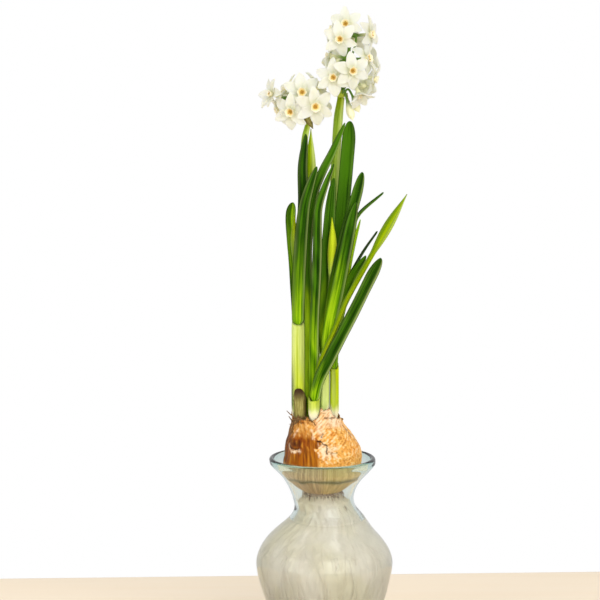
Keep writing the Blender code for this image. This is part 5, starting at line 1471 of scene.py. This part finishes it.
def hanging_bud_skins(top):
    """Closed florets: a pedicel that arches over, and a bud of three-sided section that widens and ends in
    a point."""
    skins = []
    for neck, tip in np.asarray(HANGING_BUDS):
        foot = foot_on_knob(neck, top)
        over_top = (foot + neck) / 2 + [0.0, -1.5, 4.0]
        path = curve_through([foot, over_top, neck, (neck + tip) / 2, tip], HANGING_ROWS)
        share = np.clip((np.linspace(0, 1, HANGING_ROWS) - 0.46) / 0.54, 0, 1)
        radii = 0.8 + 2.0 * np.sin(np.pi * share**1.25) ** 1.1
        radii = radii * (1 - smoothstep((share - 0.8) / 0.2) * 0.85)
        rings = tube(path, radii, HANGING_SIDES)
        three_sided = 1 + 0.09 * np.cos(3 * circle(HANGING_SIDES)) * (share > 0)[:, None]
        rings = path[:, None] + (rings - path[:, None]) * three_sided[..., None]
        green = 1 - smoothstep((share - 0.05) / 0.4)
        skins.append(skin(rings, green=green[None, :, None], lime=0.0))
    return skins


for name in HEADS:
    new_piece(f"pedicels_{name}", pedicel_skins(name), pedicel_finish, [f"flower_head_{name}"])
new_piece(
    "hanging_buds", hanging_bud_skins(head_of("right")[1]), pedicel_finish, ["flower_head_right"])

# %% [markdown]
# ## Table and light
#
# The vase stands near the back edge of a pale wooden table, before plain white. The white is the world
# itself, weaker as a light than as a background and weaker above than at eye level, so that white tepals
# keep their shading, and a little darker to the far left and right, which shades the glass's edges.
# A large soft panel in front to the right gives the form; the glass reflects only a weaker one.

# %% Table
TABLE_BACK, TABLE_SKEW, TABLE_THICK = 204.5, 0.044, 28.0
TABLE_HALF_DEPTH, TABLE_HALF_WIDTH = 550.0, 1100.0
TABLE_EDGE = 0.12
table_finish = Finish("pale_wood", {"Roughness": 0.45})
grain = table_finish.place((0.004, 0.06, 0.06))
lines = table_finish.noise(grain, 1.0, 4.0, 0.6, 0.4)
table_finish.colour(table_finish.mix(lines, rgb(255, 239, 216), rgb(252, 231, 200)))
table_finish.bump(lines, 0.1, 0.3)


def slab_rings():
    """A rounded oblong carried along X: a superellipse of power 0.12 gives straight sides and round edges.
    The table stands a little skew, so its back edge is further away on the right."""
    angle = circle(96)
    y = np.sign(np.cos(angle)) * np.abs(np.cos(angle)) ** TABLE_EDGE * TABLE_HALF_DEPTH
    y = y + TABLE_BACK - TABLE_HALF_DEPTH
    z = np.sign(np.sin(angle)) * np.abs(np.sin(angle)) ** TABLE_EDGE * TABLE_THICK / 2 - TABLE_THICK / 2
    x = np.linspace(-TABLE_HALF_WIDTH, TABLE_HALF_WIDTH, 12)[:, None] + 0 * angle
    return np.stack([x, y + TABLE_SKEW * x, z + 0 * x], axis=-1)


table = new_mesh("table_top", [skin(slab_rings())], table_finish)

# %% Light
# What the world gives at the horizon, straight above and to the far left and right
HORIZON, ZENITH, SIDES = 0.74, 0.42, 0.55
world = bpy.data.worlds.new("white_room")
scene.world = world
world.use_nodes = True
sky = world.node_tree.nodes["Background"]


def world_node(kind, **settings):
    made = world.node_tree.nodes.new(kind)
    for name, value in settings.items():
        made.inputs[name].default_value = value
    return made


direction = world_node("ShaderNodeTexCoord")
elevation = world_node("ShaderNodeSeparateXYZ")
falloff = world_node(
    "ShaderNodeMapRange", **{"From Min": 0.3, "From Max": 0.8, "To Min": HORIZON, "To Max": ZENITH})
seen = world_node("ShaderNodeLightPath")
apart = world_node("ShaderNodeMath")
apart.operation = "ABSOLUTE"
flanks = world_node("ShaderNodeMapRange", **{"From Min": 0.80, "From Max": 0.92, "To Max": SIDES})
strength = world_node("ShaderNodeMapRange", **{"To Max": 1.0})
for start, end in (
    (direction.outputs["Generated"], elevation.inputs[0]), (elevation.outputs["Z"], falloff.inputs["Value"]),
    (elevation.outputs["X"], apart.inputs[0]), (apart.outputs[0], flanks.inputs["Value"]),
    (falloff.outputs["Result"], flanks.inputs["To Min"]),
    (flanks.outputs["Result"], strength.inputs["To Min"]),
    (seen.outputs["Is Camera Ray"], strength.inputs["Value"]),
    (strength.outputs["Result"], sky.inputs["Strength"])):
    world.node_tree.links.new(start, end)
sky.inputs["Color"].default_value = (1.0, 1.0, 1.0, 1.0)
scene.view_settings.view_transform = "Standard"


def panel(name, place, towards, size, power, reflected=True):
    """A soft rectangular light at a place, turned towards a point, that shiny things may reflect or not."""
    light = bpy.data.lights.new(name, "AREA")
    light.shape, light.size, light.size_y, light.energy = "RECTANGLE", *size, power
    made = bpy.data.objects.new(name, light)
    scene.collection.objects.link(made)
    back = unit(np.subtract(place, towards))
    side = unit(np.cross([0.0, 0.0, 1.0], back))
    frame_of = np.column_stack([side, np.cross(back, side), back])
    made.rotation_euler = (
        math.atan2(frame_of[2, 1], frame_of[2, 2]),
        -math.asin(frame_of[2, 0]),
        math.atan2(frame_of[1, 0], frame_of[0, 0]),
    )
    made.location = place
    made.visible_glossy = reflected
    print(f"{name}: {power} W over {size[0]} x {size[1]} m")


panel("key", (0.75, -1.45, 1.0), (0.0, 0.0, 0.25), (1.5, 1.3), 15.5, False)
panel("window", (0.25, -1.6, 1.0), (0.0, 0.0, 0.1), (1.0, 1.4), 3.6)
panel("reflector", (-1.2, -0.8, 0.7), (0.0, 0.0, 0.25), (1.0, 1.0), 6.0, False)
panel("ceiling", (0.1, 0.35, 1.7), (0.0, 0.1, 0.0), (1.8, 1.6), 9.0)
